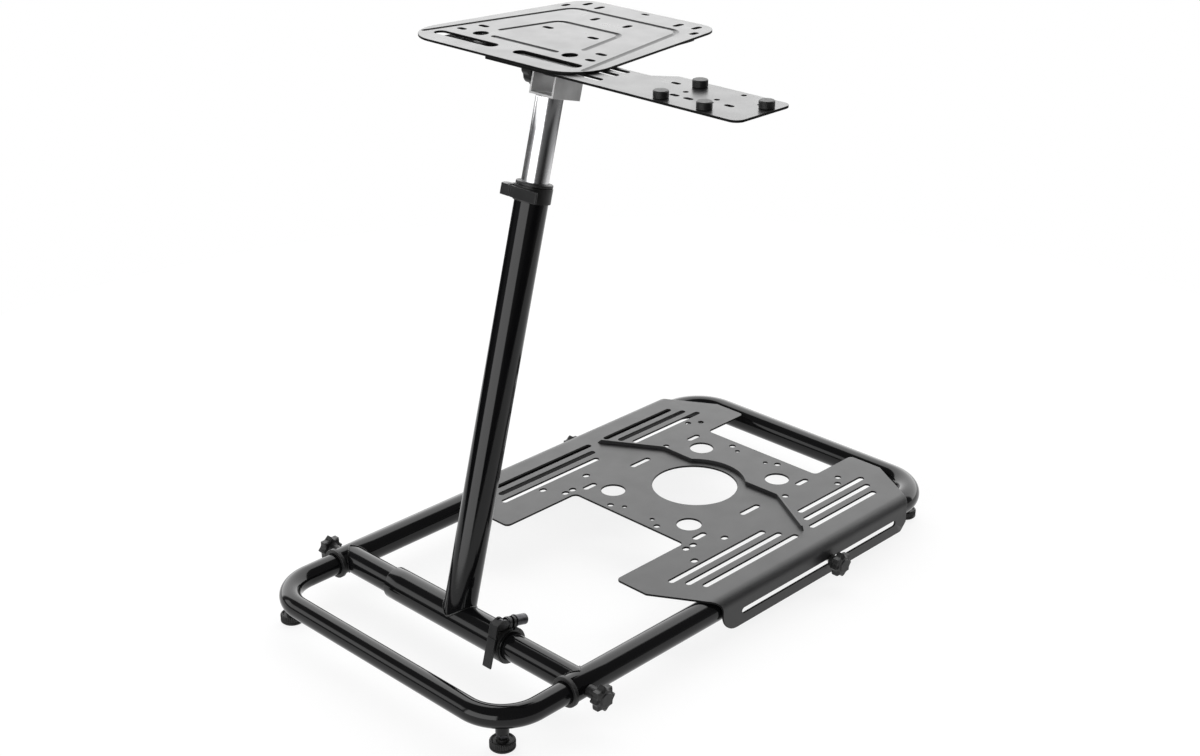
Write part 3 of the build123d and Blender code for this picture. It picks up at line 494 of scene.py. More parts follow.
def weld(ring: Array, name: str, body: str, radius: float) -> None:
    """A weld bead on a closed ring, with the low ripples of a torch pass.

    At arc step k the bead's radius is radius * (1 + 0.13 * |sin(k * pi / 4)|) about the ring.
    """
    ahead = unit(np.roll(ring, -1, axis=0) - np.roll(ring, 1, axis=0))
    side = unit(np.cross(ahead, unit(ring - ring.mean(axis=0))))
    rad = radius * (1 + 0.13 * np.abs(np.sin(np.arange(len(ring)) * np.pi / 4)))
    grid = ring[:, None, :] + rad[:, None, None] * wheel(turns(12), side, np.cross(side, ahead))
    Shape().grid(grid, ring_rows=True).make(name, WELD_BLACK, body, weight=0, sharp=60.0)


# ---------------------------------------------------------------- sheet metal


def turned(loop: Array, anticlockwise: bool) -> Array:
    """The loop run in the asked direction, told by the sum of cross products round it."""
    nxt = np.roll(loop, -1, axis=0)
    area = np.sum(loop[:, 0] * nxt[:, 1] - nxt[:, 0] * loop[:, 1])
    return loop if (area > 0) == anticlockwise else loop[::-1].copy()


def drawn_in(loop: Array, distance: float) -> Array:
    """The loop moved to its left by distance.

    Each point moves along the sum of its two neighbouring edges' left normals, by distance over
    the cosine of half the turn there.
    """
    ahead = unit(np.roll(loop, -1, axis=0) - loop)
    left = np.stack([-ahead[:, 1], ahead[:, 0]], axis=1)
    both = unit(left + np.roll(left, 1, axis=0))
    cosine = np.clip(np.sum(both * left, axis=1), 0.4, 1.0)
    return loop + both * (distance / cosine)[:, None]


def circle(x: float, y: float, radius: float, count: int = 24) -> Array:
    """A circle's loop."""
    t = turns(count)
    return np.stack([x + radius * np.cos(t), y + radius * np.sin(t)], axis=1)


def slot_loop(x: float, y: float, length: float, width: float, along_y: bool = False, half_turn: int = 9) -> Array:
    """A round-ended slot's loop about its middle: two half circles that stand length - width apart."""
    t = np.linspace(-np.pi / 2, np.pi / 2, half_turn)
    reach, r = (length - width) / 2, width / 2
    end = np.stack([reach + r * np.cos(t), r * np.sin(t)], axis=1)
    loop = np.concatenate([end, -end])
    if along_y:
        loop = loop[:, ::-1] * np.array([-1.0, 1.0])
    return loop + np.array([x, y])


def inside(points: Array, loops: Sequence[Array]) -> Array:
    """Whether each point is in the material, by the even-odd rule over every loop.

    A ray towards +x crosses an edge when the edge spans the point's y and meets it further right.
    """
    x, y = points[:, :1], points[:, 1:]
    crossings = np.zeros(len(points), dtype=int)
    for loop in loops:
        (x1, y1), (x2, y2) = loop.T, np.roll(loop, -1, axis=0).T
        spans = (y1 > y) != (y2 > y)
        where = x1 + (y - y1) / np.where(y2 == y1, 1e-12, y2 - y1) * (x2 - x1)
        crossings += np.sum(spans & (x < where), axis=1)
    return crossings % 2 == 1


def clear_of(points: Array, loops: Sequence[Array], gap: float) -> Array:
    """Whether each point is further than gap from every loop's points."""
    every = np.concatenate(loops)
    away = (points[:, None, 0] - every[None, :, 0]) ** 2 + (points[:, None, 1] - every[None, :, 1]) ** 2
    return away.min(axis=1) > gap * gap


def sheet(outline: Array, holes: Sequence[Array], edge: float, extra: Optional[Array] = None,
          lift: Optional[Relief] = None) -> Shape:
    """A flat sheet with holes, rounded edges and an optional pressed relief.

    Every loop is drawn into the material by edge, the area between the loops is filled with
    Delaunay triangles for the top and the bottom, and a rounded wall, marked 1, joins the two
    round each loop. The height of a point is its lift on top and minus the thickness below.

    Args:
        outline, holes: the outer loop and the inner ones.
        edge: the rounding of each edge.
        extra: more points in the area, for a relief or a fold.
        lift: the relief's height at an array of points, or none.

    Returns:
        The shape, whose top lies at z = 0.
    """
    loops = [turned(outline, True)] + [turned(hole, False) for hole in holes]
    inner = [drawn_in(loop, edge) for loop in loops]
    flat, edges, ends = np.concatenate(inner), [], 0
    for loop in inner:
        ring = ends + np.arange(len(loop))
        edges.append(np.stack([ring, np.roll(ring, -1)], axis=1))
        ends += len(loop)
    if extra is not None:
        extra = extra[inside(extra, inner)]
        extra = extra[clear_of(extra, [divided(loop, 3.0) for loop in inner], 0.8)]
        flat = np.concatenate([flat, extra])
    corners = [Vector(p) for p in flat.tolist()]
    found = geometry.delaunay_2d_cdt(corners, np.concatenate(edges).tolist(), [], 0, 1e-5)
    spots = np.array([[v.x, v.y] for v in found[0]])
    triangles = np.array([f for f in found[2] if len(f) == 3])
    triangles = triangles[inside(spots[triangles].mean(axis=1), inner)]
    height = lift or (lambda p: np.zeros(len(p)))
    shape = Shape()
    shape.add(np.column_stack([spots, height(spots)]), triangles)
    shape.add(np.column_stack([spots, np.full(len(spots), -SHEET_T)]), triangles[:, ::-1])
    rise = np.sin(QUARTER)
    out = np.concatenate([rise, rise[::-1]]) * edge
    down = np.concatenate([FALL * edge, SHEET_T - FALL[::-1] * edge])
    shape.mark = 1
    for loop, drawn in zip(loops, inner):
        rows = drawn + out[:, None, None] * ((loop - drawn) / edge)
        level = height(drawn) * (down < SHEET_T / 2)[:, None] - down[:, None]
        shape.grid(np.concatenate([rows, level[:, :, None]], axis=2))
    return shape


def groove(path: Array, radius: float, depth: float) -> tuple[Array, Relief]:
    """A round-bottomed groove along a path: points for the mesh and its height function.

    At distance d from the path the cut is c = sqrt(radius^2 - d^2) - (radius - depth), and the
    height is -(c + sqrt(c^2 + 0.12^2)) / 2, which rounds the groove's rims. The points lie in rows
    across the path and in half rings round its ends.

    Args:
        path, radius, depth: the centre line, the section's radius and how deep it is pressed.

    Returns:
        The points and the function.
    """
    half_width = float(coped(radius, radius - depth))

    def height(points: Array) -> Array:
        """The groove's height at each point, from its distance to the nearest run of the path."""
        best = np.full(len(points), 1e9)
        for a, b in zip(path[:-1], path[1:]):
            run = b - a
            t = eased(((points - a) @ run) / float(run @ run))
            best = np.minimum(best, np.linalg.norm(points - (a + t[:, None] * run), axis=1))
        cut = coped(radius, best) - (radius - depth)
        return np.where(best > 1.3 * half_width, 0.0, -(cut + np.sqrt(cut * cut + 0.0144)) / 2)

    length = measured(path)
    s = np.linspace(0.0, length[-1], int(length[-1] / 2.5) + 2)
    fine = np.column_stack([np.interp(s, length, path[:, k]) for k in (0, 1)])
    ahead = unit(np.gradient(fine, axis=0))
    across = np.stack([-ahead[:, 1], ahead[:, 0]], axis=1)
    steps = np.array([0.0, 0.3, 0.6, 0.84, 0.96, 1.06, 1.25])
    t = np.concatenate([-steps[:0:-1], steps]) * half_width
    rows = [(fine[:, None, :] + t[None, :, None] * across[:, None, :]).reshape(-1, 2)]
    u = np.linspace(-np.pi / 2, np.pi / 2, 9)
    for end, sign in ((0, -1.0), (-1, 1.0)):
        rows += [fine[end] + r * wheel(u, sign * ahead[end], across[end]) for r in steps[1:] * half_width]
    return np.concatenate(rows), height


# ---------------------------------------------------------------- sub-assemblies


@dataclass(frozen=True)
class Hoop:
    """A U-shaped tube at one height: two legs along Y, joined by a bar along X."""

    name: str
    body: str
    tube_r: float
    start_y: float
    bar_y: float
    around: int
    bend_r: float = 62.0

    def build(self) -> None:
        """Builds the tube, its two corners rounded by bend_r."""
        rows = [(-SIDE_HALF, self.start_y, TUBE_AXIS_Z, 0), (-SIDE_HALF, self.bar_y, TUBE_AXIS_Z, self.bend_r),
                (SIDE_HALF, self.bar_y, TUBE_AXIS_Z, self.bend_r), (SIDE_HALF, self.start_y, TUBE_AXIS_Z, 0)]
        path = divided(fillet_path(rows, 4.0), 60.0, closed=False)
        shape = tube(path, Z, self.tube_r, TUBE_WALL, around=self.around)
        shape.make(f"{self.name} hoop tube", TUBE_BLACK, self.body, [f"{self.name}_hoop"], weight=0)

    def bend(self, sign: int) -> tuple[float, float]:
        """Where the middle of a corner lies: bend_r * (1 - cos 45 degrees) inside both axes."""
        inset = self.bend_r * (1 - math.cos(math.pi / 4))
        return sign * (SIDE_HALF - inset), self.bar_y + math.copysign(inset, self.start_y - self.bar_y)


@dataclass(frozen=True)
class CrossTube:
    """The tube between the side tubes, its ends coped to them and welded.

    Its ends run into the side tubes by gap, and its weld beads lie as far out of its skin.
    """

    tube_r: float = 19.0
    gap: float = 0.3
    bead: float = 1.0

    def reach(self, t: Array) -> Array:
        """Where the side tube begins at angle t: sqrt(R^2 - (r sin t)^2) short of its axis."""
        return SIDE_HALF - coped(self.tube_r, self.tube_r * np.sin(t))

    def build(self) -> None:
        """Builds the tube's outer and inner skin, closed at the ends, and the two welds."""
        t, w = turns(64), turns(180)
        x = np.linspace(-1.0, 1.0, 25)[:, None] * (self.reach(t) + self.gap)
        outer, inner = (MAST_FOOT + x[:, :, None] * X + r * wheel(t, Y, Z)
                        for r in (self.tube_r, self.tube_r - TUBE_WALL))
        tube_skin = Shape().grid(np.concatenate([outer, inner[::-1]]), ring_rows=True)
        tube_skin.make("cross tube", TUBE_BLACK, "base", ["cross_tube"], weight=0)
        for sign, side in SIDES:
            seam = (sign * (self.reach(w) - 0.4))[:, None] * X
            ring = MAST_FOOT + seam + (self.tube_r + self.gap) * wheel(w, Y, Z)
            weld(ring, f"cross tube weld {side}", "base", self.bead)


@dataclass(frozen=True)
class MouthCollar:
    """A plastic collar in a side tube's mouth, with a rounded lip over the tube's end."""

    bore: float = 15.8
    spigot: float = 17.0
    out: float = 21.5
    lip: float = 5.5
    deep: float = -22.0

    def build(self, sign: int, side: str, mouth_y: float) -> None:
        """Builds the collar at (sign * SIDE_HALF, mouth_y), facing the front."""
        rows = [(self.bore, self.deep, 0), (self.bore, self.lip, 0.8), (self.out, self.lip, 1.0),
                (self.out, 0, 0.4), (self.spigot, 0, 0), (self.spigot, self.deep, 0)]
        shape = lathe(rows, np.array([sign * SIDE_HALF, mouth_y, TUBE_AXIS_Z]), -Y, 56, hollow=True)
        shape.make(f"mouth collar {side}", KNOB_PLASTIC, "base", [f"mouth_collar_{side}"])


@dataclass(frozen=True)
class LevellingFoot:
    """A screw foot: a ribbed disc, its threaded stud, a lock nut and the boss on the tube."""

    disc_r: float = 17.0
    height: float = 13.0
    stud_r: float = 5.0
    pitch: float = 1.5
    nut_r: float = 8.6
    nut_height: float = 4.6
    boss_r: float = 9.0
    boss_height: float = 8.0
    ribs: int = 36

    def build(self, name: str, hoop: Hoop, sign: int) -> None:
        """Builds one foot under the middle of a hoop's bend; the boss's top follows the tube's skin."""
        x, y = hoop.bend(sign)
        origin = np.array([x, y, 0.0])
        low = TUBE_AXIS_Z - hoop.tube_r - self.boss_height
        self.disc(name, hoop.body, origin)
        self.stud(low).moved(lambda p: p + origin).make(f"{name} stud", DARK_STEEL, hoop.body, weight=0)
        nut = Shape().grid(self.nut() + origin + (low - self.nut_height - 0.1) * Z, poles=True)
        nut.make(f"{name} lock nut", DARK_STEEL, hoop.body)
        t = turns(48)
        top = TUBE_AXIS_Z - coped(hoop.tube_r, self.boss_r * np.cos(t + np.pi / 4)) + 1.0
        b = self.boss_r
        levels = ((NEAR_AXIS, low), (b - 1.0, low), (b - 0.3, low + 0.3), (b, low + 1.0), (b, top), (0.5, top))
        rings = np.stack([origin + r * wheel(t, X, Y) + np.multiply.outer(z + 0 * t, Z) for r, z in levels])
        Shape().grid(rings, poles=True).make(f"{name} boss", TUBE_BLACK, hoop.body)

    def disc(self, name: str, body: str, origin: Array) -> None:
        """The disc, with a groove in its rim and a dished top; it stands for the CAD foot."""
        r, h = self.disc_r, self.height
        rows = [(NEAR_AXIS, 0, 0), (r - 1.6, 0, 0.8), (r, 1.6, 0.6), (r, 3.6, 0.3), (r - 1.0, 4.2, 0.2),
                (r - 1.0, 4.9, 0.2), (r, 5.5, 0.3), (r, h - 2.0, 1.0), (r - 2.4, h, 0.8), (r - 4.6, h - 2.2, 1.0),
                (8.6, h - 2.2, 0.6), (8.2, h + 1.6, 0.6), (NEAR_AXIS, h + 1.6, 0)]

        def ribbed(t: Array, rad: Array, height: Array) -> Array:
            """Grooves round the rim only: 0.06 times the square of the sine of half the rib angle."""
            rim = (height > 5.4) & (height < h - 1.2) & (rad > r - 1.2)
            return np.where(rim, -0.06 * np.sin(self.ribs * t / 2) ** 2, 0.0)

        lathe(rows, origin, Z, 144, ribbed).make(f"{name} disc", FOOT_PLASTIC, body, [name.replace(" ", "_")])

    def stud(self, top: float) -> Shape:
        """The threaded stud from the disc to top: 0.45 deep, with a cosine section and one start."""
        rows = np.linspace(self.height, top, max(8, int((top - self.height) / self.pitch * 12)))[:, None]
        t = turns(24)
        rad = self.stud_r - 0.45 * (0.5 + 0.5 * np.cos(rows / self.pitch * 2 * np.pi - t))
        return Shape().grid(np.stack([rad * np.cos(t), rad * np.sin(t), rows + 0 * t], axis=2), poles=True)

    def nut(self) -> Array:
        """A hexagon nut's skin about the z axis, as rows from its bottom to its top.

        At angle t a flat side's radius is apothem / cos(t mod 60 - 30), cut down near each end by
        a cone.
        """
        t = turns(72)
        apothem = self.nut_r * math.cos(math.pi / 6)
        side = apothem / np.cos((t % (np.pi / 3)) - np.pi / 6)
        cone = ((0.0, apothem - 0.4), (0.4, apothem + 0.35), (0.8, self.nut_r))
        levels = cone + tuple((self.nut_height - z, r) for z, r in cone[::-1])
        return np.stack([np.minimum(side, r)[:, None] * wheel(t, X, Y) + z * Z for z, r in levels])


@dataclass(frozen=True)
class StarKnob:
    """A lobed hand knob with its hub and bolt, on both sides of the frame."""

    name: str
    seat: tuple[float, float, float]
    hub: float
    bolt_reach: float
    radius: float = 18.5
    thickness: float = 14.0
    lobes: int = 8
    hub_r: float = 8.5
    bolt_r: float = 4.0

    def build(self, sign: int, side: str) -> None:
        """Builds the knob on its seat, facing outwards along X.

        The grip's radius is radius * (1 - 0.2 * |sin(lobes * t / 2)|), which gives pointed lobes and
        round valleys; the change is eased to 0 towards the hub and the cap.
        """
        r, h, cap, b = self.radius, self.hub, self.hub + self.thickness, self.bolt_r
        rows = [(NEAR_AXIS, 0, 0), (self.hub_r, 0, 0.5), (self.hub_r, h - 1.0, 0.8), (self.hub_r + 1.5, h, 0.8),
                (r - 2.0, h, 1.6), (r, h + 2.5, 1.6), (r, cap - 3.0, 2.2), (r - 3.5, cap, 2.2),
                (r * 0.55, cap, 0.6), (r * 0.5, cap + 1.5, 0.8), (NEAR_AXIS, cap + 1.5, 0)]

        def lobed(t: Array, rad: Array, height: Array) -> Array:
            """Round valleys between pointed lobes, deepest on the rim."""
            share = eased((rad - self.hub_r - 1.0) / (r - self.hub_r - 4.0))
            share = np.where(height > h - 0.5, share, 0.0) ** 1.5
            return -0.2 * share * np.abs(np.sin(self.lobes * t / 2))

        origin = np.array(self.seat) * [sign, 1, 1]
        name = f"{self.name} star knob {side}"
        knob = lathe(rows, origin, sign * X, 128, lobed, 15.0)
        knob.make(name, KNOB_PLASTIC, "base", [f"{self.name}_knob_{side}"], sharp=50.0)
        reach = -self.bolt_reach
        stem = [(NEAR_AXIS, reach, 0), (b - 0.6, reach, 0), (b, reach + 0.8, 0), (b, 0.5, 0), (NEAR_AXIS, 0.5, 0)]
        lathe(stem, origin, sign * X, 24).make(f"{name} bolt", ZINC_STEEL, "base")


@dataclass(frozen=True)
class PedalPlate:
    """The folded pedal plate: a flat pattern with its openings, bent down at both sides.

    The bend begins at fold and is arc long on its outer skin, a quarter of its circle. The tables
    give half of the pattern: round_holes is (x, y), long_slots (x, near y, far y), short_slots
    (x, y, length) and round_bolts (x, y, radius).
    """

    top: float = 67.8
    half: float = 257.5
    bend_r: float = 15.0
    fold: float = half - bend_r
    arc: float = bend_r * math.pi / 2
    drop: float = 52.5
    notch_x: float = 110.0
    shoulder_x: float = 167.0
    near_y: float = -288.0
    far_y: float = 244.5
    flange_near: float = -230.0
    flange_far: float = 191.5
    slot_w: float = 9.4
    window_r: float = 65.0
    hole_r: float = 18.5
    flange_slot: tuple = (36.0, -13.0, 354.0, 8.6)
    round_holes: tuple = ((77.0, -99.0), (77.0, 103.0))
    long_slots: tuple = ((210.2, -217.5, -13.5), (189.5, -230.0, -25.5), (168.8, -242.5, -38.0),
                         (209.6, 18.0, 174.5), (188.9, 30.5, 186.5), (168.2, 42.5, 199.0))
    short_slots: tuple = ((111.3, -114.8, 26.0), (110.8, 121.5, 26.0), (111.5, -2.2, 41.0), (140.4, -93.3, 12.0),
                          (153.4, -173.3, 12.0), (122.2, -156.2, 11.5), (122.2, -141.0, 11.5))
    round_bolts: tuple = ((47.0, -136.0, 4.7), (28.0, -125.5, 3.5), (46.0, 142.0, 4.9), (28.5, 133.5, 3.5),
                          (121.5, 68.5, 4.9), (153.0, 156.0, 4.7), (140.5, 173.0, 4.7))
    lip_height: float = 5.6
    lip_t: float = 2.4
    lip_bend_r: float = 78.5

    def outline(self) -> Array:
        """The flat pattern's outline, whose u grows past the fold by the bend's arc."""
        fold, bent, n, s = self.fold, self.fold + self.arc, self.notch_x, self.shoulder_x
        low = bent + self.drop - self.bend_r
        near = float(np.interp(fold, (s, self.half), (self.near_y, self.flange_near - 5.0)))
        far = float(np.interp(fold, (s, self.half), (self.far_y, self.flange_far)))
        right = [(n, -147.0, 8), (n, self.near_y, 8), (s, self.near_y, 3), (fold, near, 0),
                 (fold + self.arc * 0.6, self.flange_near - 3.0, 2), (bent, self.flange_near, 2),
                 (low, self.flange_near, 30), (low, 179.0, 6), (low - 12.5, self.flange_far, 4),
                 (bent, self.flange_far, 2), (fold, far, 2), (s, self.far_y, 3), (n, self.far_y, 8), (n, 156.5, 8)]
        whole = right + [(-u, v, r) for u, v, r in reversed(right)]
        return divided(fillet_path(whole, 9.0, closed=True), 3.0)

    def holes(self) -> list[Array]:
        """Every opening in the flat pattern."""
        loops = [circle(0.0, 0.0, self.window_r, 96)]
        height, middle, length, width = self.flange_slot
        u = self.fold + self.arc + (self.top - self.bend_r - height)
        for s in (-1, 1):
            loops += [circle(s * x, y, self.hole_r, 40) for x, y in self.round_holes]
            loops += [slot_loop(s * x, (a + b) / 2, b - a, self.slot_w, True) for x, a, b in self.long_slots]
            loops += [slot_loop(s * x, y, run, self.slot_w, True) for x, y, run in self.short_slots]
            loops += [circle(s * x, y, r) for x, y, r in self.round_bolts]
            loops.append(slot_loop(s * u, middle, length, width, True))
        return loops

    def folded(self, flat: Array) -> Array:
        """Bends points (u, v, w) of the flat pattern down at both sides.

        Beyond the fold line, u runs round a quarter circle of the bend radius on the outer skin and
        then straight down; w is the distance out of that skin.
        """
        u, v, w = flat.T
        reach = np.abs(u)
        angle = np.clip((reach - self.fold) / self.bend_r, 0.0, np.pi / 2)
        rest = np.maximum(reach - self.fold - self.arc, 0.0)
        x = np.minimum(reach, self.fold) + self.bend_r * np.sin(angle) + w * np.sin(angle)
        z = self.top - self.bend_r * (1 - np.cos(angle)) - rest + w * np.cos(angle)
        return np.column_stack([np.sign(u) * x, v, z])

    def build(self) -> None:
        """Builds the plate, with eleven rows of points over each bend, and its heel lip."""
        rows = self.fold + np.concatenate([[-4.0], np.linspace(0.0, self.arc, 11), [self.arc + 4.0]])
        strip = np.stack(np.meshgrid(rows, np.arange(-245.0, 215.0, 5.0), indexing="ij"), axis=2).reshape(-1, 2)
        extra = np.concatenate([strip, strip * [-1.0, 1.0]])
        plate = sheet(self.outline(), self.holes(), 0.5, extra).moved(self.folded)
        plate.make("pedal plate", SHEET_BLACK, "pedals", ["pedal_plate"], edge=SHADED_EDGE)
        self.lip()

    def lip(self) -> None:
        """The low upright lip behind the window: a thin wall carried along its path.

        The path runs in from both sides and round the window on an arc. Across the wall the section
        is a rectangle with rounded upper corners; its height falls to nothing over the last 5 mm at
        each end, by x^2 * (3 - 2x).
        """
        r = self.lip_bend_r
        start = math.asin(55.7 / r)
        t = np.linspace(start, np.pi - start, 41)
        arc = np.stack([r * np.cos(t), r * np.sin(t)], axis=1)[::-1]
        left = fillet_path([(-208.5, 2.1, 0), (-115.6, 56.7, 10), (-62.0, 55.7, 0), (-55.3, 55.7, 0)], 6.0)[:-1]
        flat = divided(np.concatenate([left, arc, (left * [-1.0, 1.0])[::-1]]), 2.5, closed=False)
        path = np.column_stack([flat, np.full(len(flat), self.top)])
        side = frames_along(path, Z)[1]
        s = measured(path)
        rise = eased(np.minimum(s, s[-1] - s) / 5.0)
        rise = np.maximum(rise * rise * (3 - 2 * rise), 0.08)
        edge, h, w, sunk = 0.5, self.lip_height, self.lip_t / 2, [-0.4]
        across = np.concatenate([[-w], -w + edge * FALL, w - edge * FALL[::-1], [w]])
        up = np.concatenate([sunk, h - edge * SHORT, h - edge * SHORT[::-1], sunk])
        grid = path[:, None, :] + across[None, :, None] * side[:, None, :] + (rise[:, None] * up)[:, :, None] * Z
        Shape().grid(grid, poles=True).make("heel lip", SHEET_BLACK, "pedals")


@dataclass(frozen=True)
class Mast:
    """The leaning mast tube on its sleeve, with the bushing in its top."""

    tube_r: float = 22.5
    top: float = 598.0
    sleeve_r: float = 23.0
    sleeve_wall: float = 3.7
    sleeve_left: float = -131.0
    sleeve_right: float = 106.5
    bush_bore: float = 18.3
    bush_deep: float = 40.0
    bush_lip: float = 4.0

    def build(self) -> None:
        """Builds the tube with its coped foot, the sleeve, the weld and the bushing."""
        self.tube()
        path = np.linspace(self.sleeve_left, self.sleeve_right, 12)[:, None] * X + MAST_FOOT
        sleeve = tube(path, Z, self.sleeve_r, self.sleeve_wall, 0.7, 72)
        sleeve.make("mast sleeve", TUBE_BLACK, "mast", ["mast_sleeve"], weight=0)
        w = turns(220)
        foot = coped(self.sleeve_r, self.tube_r * np.sin(w))
        seam = MAST_FOOT + foot[:, None] * MAST_DIR + (self.tube_r + 0.2) * wheel(w, X, MAST_FRONT)
        weld(seam, "mast weld", "mast", 1.2)
        bore, deep, lip, out, skin = self.bush_bore, self.top - self.bush_deep, self.top + self.bush_lip, 24.5, 20.5
        bush = [(bore, deep, 0), (bore, lip, 0.8), (out, lip, 1.2), (out, self.top, 0.5), (skin, self.top, 0),
                (skin, deep, 0)]
        bushing = lathe(bush, MAST_FOOT, MAST_DIR, 72, hollow=True)
        bushing.make("mast bushing", KNOB_PLASTIC, "mast", ["mast_bushing"])

    def tube(self) -> None:
        """The tube, from where the sleeve's skin meets it to a rim rounded by 0.5."""
        t, r, edge = turns(72), self.tube_r, 0.5
        ring = wheel(t, X, MAST_FRONT)
        start, end = coped(self.sleeve_r, r * np.sin(t)) - 0.4, self.top - edge
        s = np.linspace(0.0, 1.0, 24)[:, None]
        along = (start * (1 - s) + end * s)[:, :, None]
        a = np.linspace(0.2, np.pi / 2, 4)[:, None, None]
        outer = MAST_FOOT + along * MAST_DIR + r * ring
        lip = MAST_FOOT + (end + edge * np.sin(a)) * MAST_DIR + (r - edge + edge * np.cos(a)) * ring
        inner = MAST_FOOT + along[::-1] * MAST_DIR + (r - TUBE_WALL) * ring
        skin = Shape().grid(np.concatenate([outer, lip, inner]), ring_rows=True)
        skin.make("mast tube", TUBE_BLACK, "mast", ["mast_tube"], weight=0)


@dataclass(frozen=True)
class QuickClamp:
    """One quick clamp on the mast: refined copies of its castings.

    castings gives each node's ending, the piece's, its finish and the rounding of its edges.
    """

    prefix: str
    castings: tuple = (("band", "collar", CLAMP_CAST, 0.7), ("bolt", "cam bolt", DARK_STEEL, 0.5),
                       ("lever", "handle", LEVER_PAINT, 0.7))

    def build(self, frame: dict) -> None:
        """Refines the castings; the lever turns on a body of its own."""
        for node, name, finish, bevel in self.castings:
            body = f"{self.prefix}_lever" if node == "lever" else "mast"
            refined(frame, f"{self.prefix}_clamp_{node}", f"{self.prefix} clamp {name}", finish, body, bevel)


@dataclass(frozen=True)
class Post:
    """The chrome post, the head bracket, the pivot bolt and the tilt knob."""

    radius: float = 18.0
    low: float = 330.0
    top: float = 713.0
    pivot_along: float = 747.0
    pivot_forward: float = 5.0
    ear_outer: float = 21.6
    knob_r: float = 26.5
    knob_t: float = 22.0

    def build(self, frame: dict) -> None:
        """Builds the post, the bracket, the pivot bolt and the knob."""
        path = MAST_FOOT + np.linspace(self.low, self.top, 10)[:, None] * MAST_DIR
        post = tube(path, X, self.radius, TUBE_WALL, around=96)
        post.make("chrome post", CHROME, "post", ["post_tube"], weight=0)
        refined(frame, "head_bracket", "head fork", SILVER, "post", 0.9)
        refined(frame, "pivot_bolt", "head pivot bolt", DARK_STEEL, "post", 0.5)
        r, d = self.knob_r, self.knob_t
        rows = [(NEAR_AXIS, 0, 0), (12.0, 0, 0.6), (12.0, 3.0, 1.0), (r - 3.0, 3.0, 1.0), (r, 6.0, 1.5),
                (r, d - 5.0, 2.0), (r - 5.0, d, 3.0), (11.0, d, 0.8), (9.0, d - 1.5, 0.8), (NEAR_AXIS, d - 1.5, 0)]

        def fluted(t: Array, rad: Array, height: Array) -> Array:
            """Ten shallow finger flutes round the rim: 0.075 times a raised cosine's square."""
            return -0.075 * eased((rad - 13.0) / (r - 15.0)) * raised(10 * t) ** 2

        pivot = MAST_FOOT + self.pivot_along * MAST_DIR - self.pivot_forward * MAST_FRONT
        knob = lathe(rows, pivot - self.ear_outer * X, -X, 140, fluted)
        knob.make("tilt knob grip", KNOB_PLASTIC, "post", ["tilt_knob"], sharp=50.0)


@dataclass(frozen=True)
class WheelDeck:
    """The wheel plate with its pressed grooves, on its hinge plate.

    bolt_slots gives half of the plate's: x, y, length and whether it runs along Y.
    """

    top: float = 809.952
    near: tuple = (163.5, -409.0, 52.0)
    far: tuple = (121.5, -110.0, 34.0)
    near_slot: tuple = (73.0, -373.0, 112.0, 17.0)
    round_hole: tuple = (80.0, -341.0, 10.0)
    bolt_slots: tuple = ((115.3, -341.5, 14.5, False), (115.3, -154.5, 14.0, True), (105.5, -312.5, 16.5, False),
                         (98.0, -130.0, 16.5, True), (71.0, -135.0, 17.5, True), (29.0, -186.0, 15.5, True),
                         (40.5, -260.5, 17.0, False))
    bolt_w: float = 7.8
    groove_radius: float = 4.5
    groove_depth: float = 2.4

    @staticmethod
    def tapered(points: Array) -> Array:
        """Narrows the hinge plate to its far side: |x| is at most 112 + 0.12 * (-150 - y)."""
        limit = 112.0 + 0.12 * (-150.0 - points[:, 1])
        return np.column_stack([np.clip(points[:, 0], -limit, limit), points[:, 1:]])

    @staticmethod
    def grooves() -> list[Array]:
        """The centre lines of the pressed grooves: two open frames and a straight one."""
        halves = (((-143.5, -381.0, 0), (-96.0, -158.0, 20)), ((-75.0, -311.0, 0), (-56.0, -224.0, 14)),
                  ((-56.0, -341.0, 0),))
        return [fillet_path(half + tuple((-x, y, r) for x, y, r in half[::-1]), 6.0) for half in halves]

    def build(self, frame: dict) -> None:
        """Builds the plate and refines what lies under it."""
        (xn, yn, rn), (xf, yf, rf) = self.near, self.far
        outline = fillet_path([(-xn, yn, rn), (xn, yn, rn), (xf, yf, rf), (-xf, yf, rf)], 4.0, closed=True)
        holes = [slot_loop(0.0, -121.0, 12.0, 5.5)]
        for s in (-1, 1):
            holes.append(slot_loop(s * self.near_slot[0], *self.near_slot[1:], half_turn=13))
            holes.append(circle(s * self.round_hole[0], *self.round_hole[1:], 36))
            holes += [slot_loop(s * x, y, length, self.bolt_w, along_y) for x, y, length, along_y in self.bolt_slots]
        beads = [groove(path, self.groove_radius, self.groove_depth) for path in self.grooves()]
        extra = np.concatenate([points for points, _ in beads])
        plate = sheet(outline, holes, 0.5, extra, lambda p: np.min([h(p) for _, h in beads], axis=0))
        plate.moved(lambda p: p + self.top * Z)
        plate.make("wheel deck plate", DECK_BLACK, "deck", ["wheel_plate"], edge=SHADED_EDGE)
        refined(frame, "hinge_plate", "deck hinge bracket", SHEET_BLACK, "deck", 0.6, self.tapered)
        refined(frame, "deck_spacer", "deck spacer bar", SHEET_BLACK, "deck", 0.4)
        for index in (1, 2):
            refined(frame, f"arm_stud_{index}", f"arm clamp stud {index}", DARK_STEEL, "deck", 0.3)


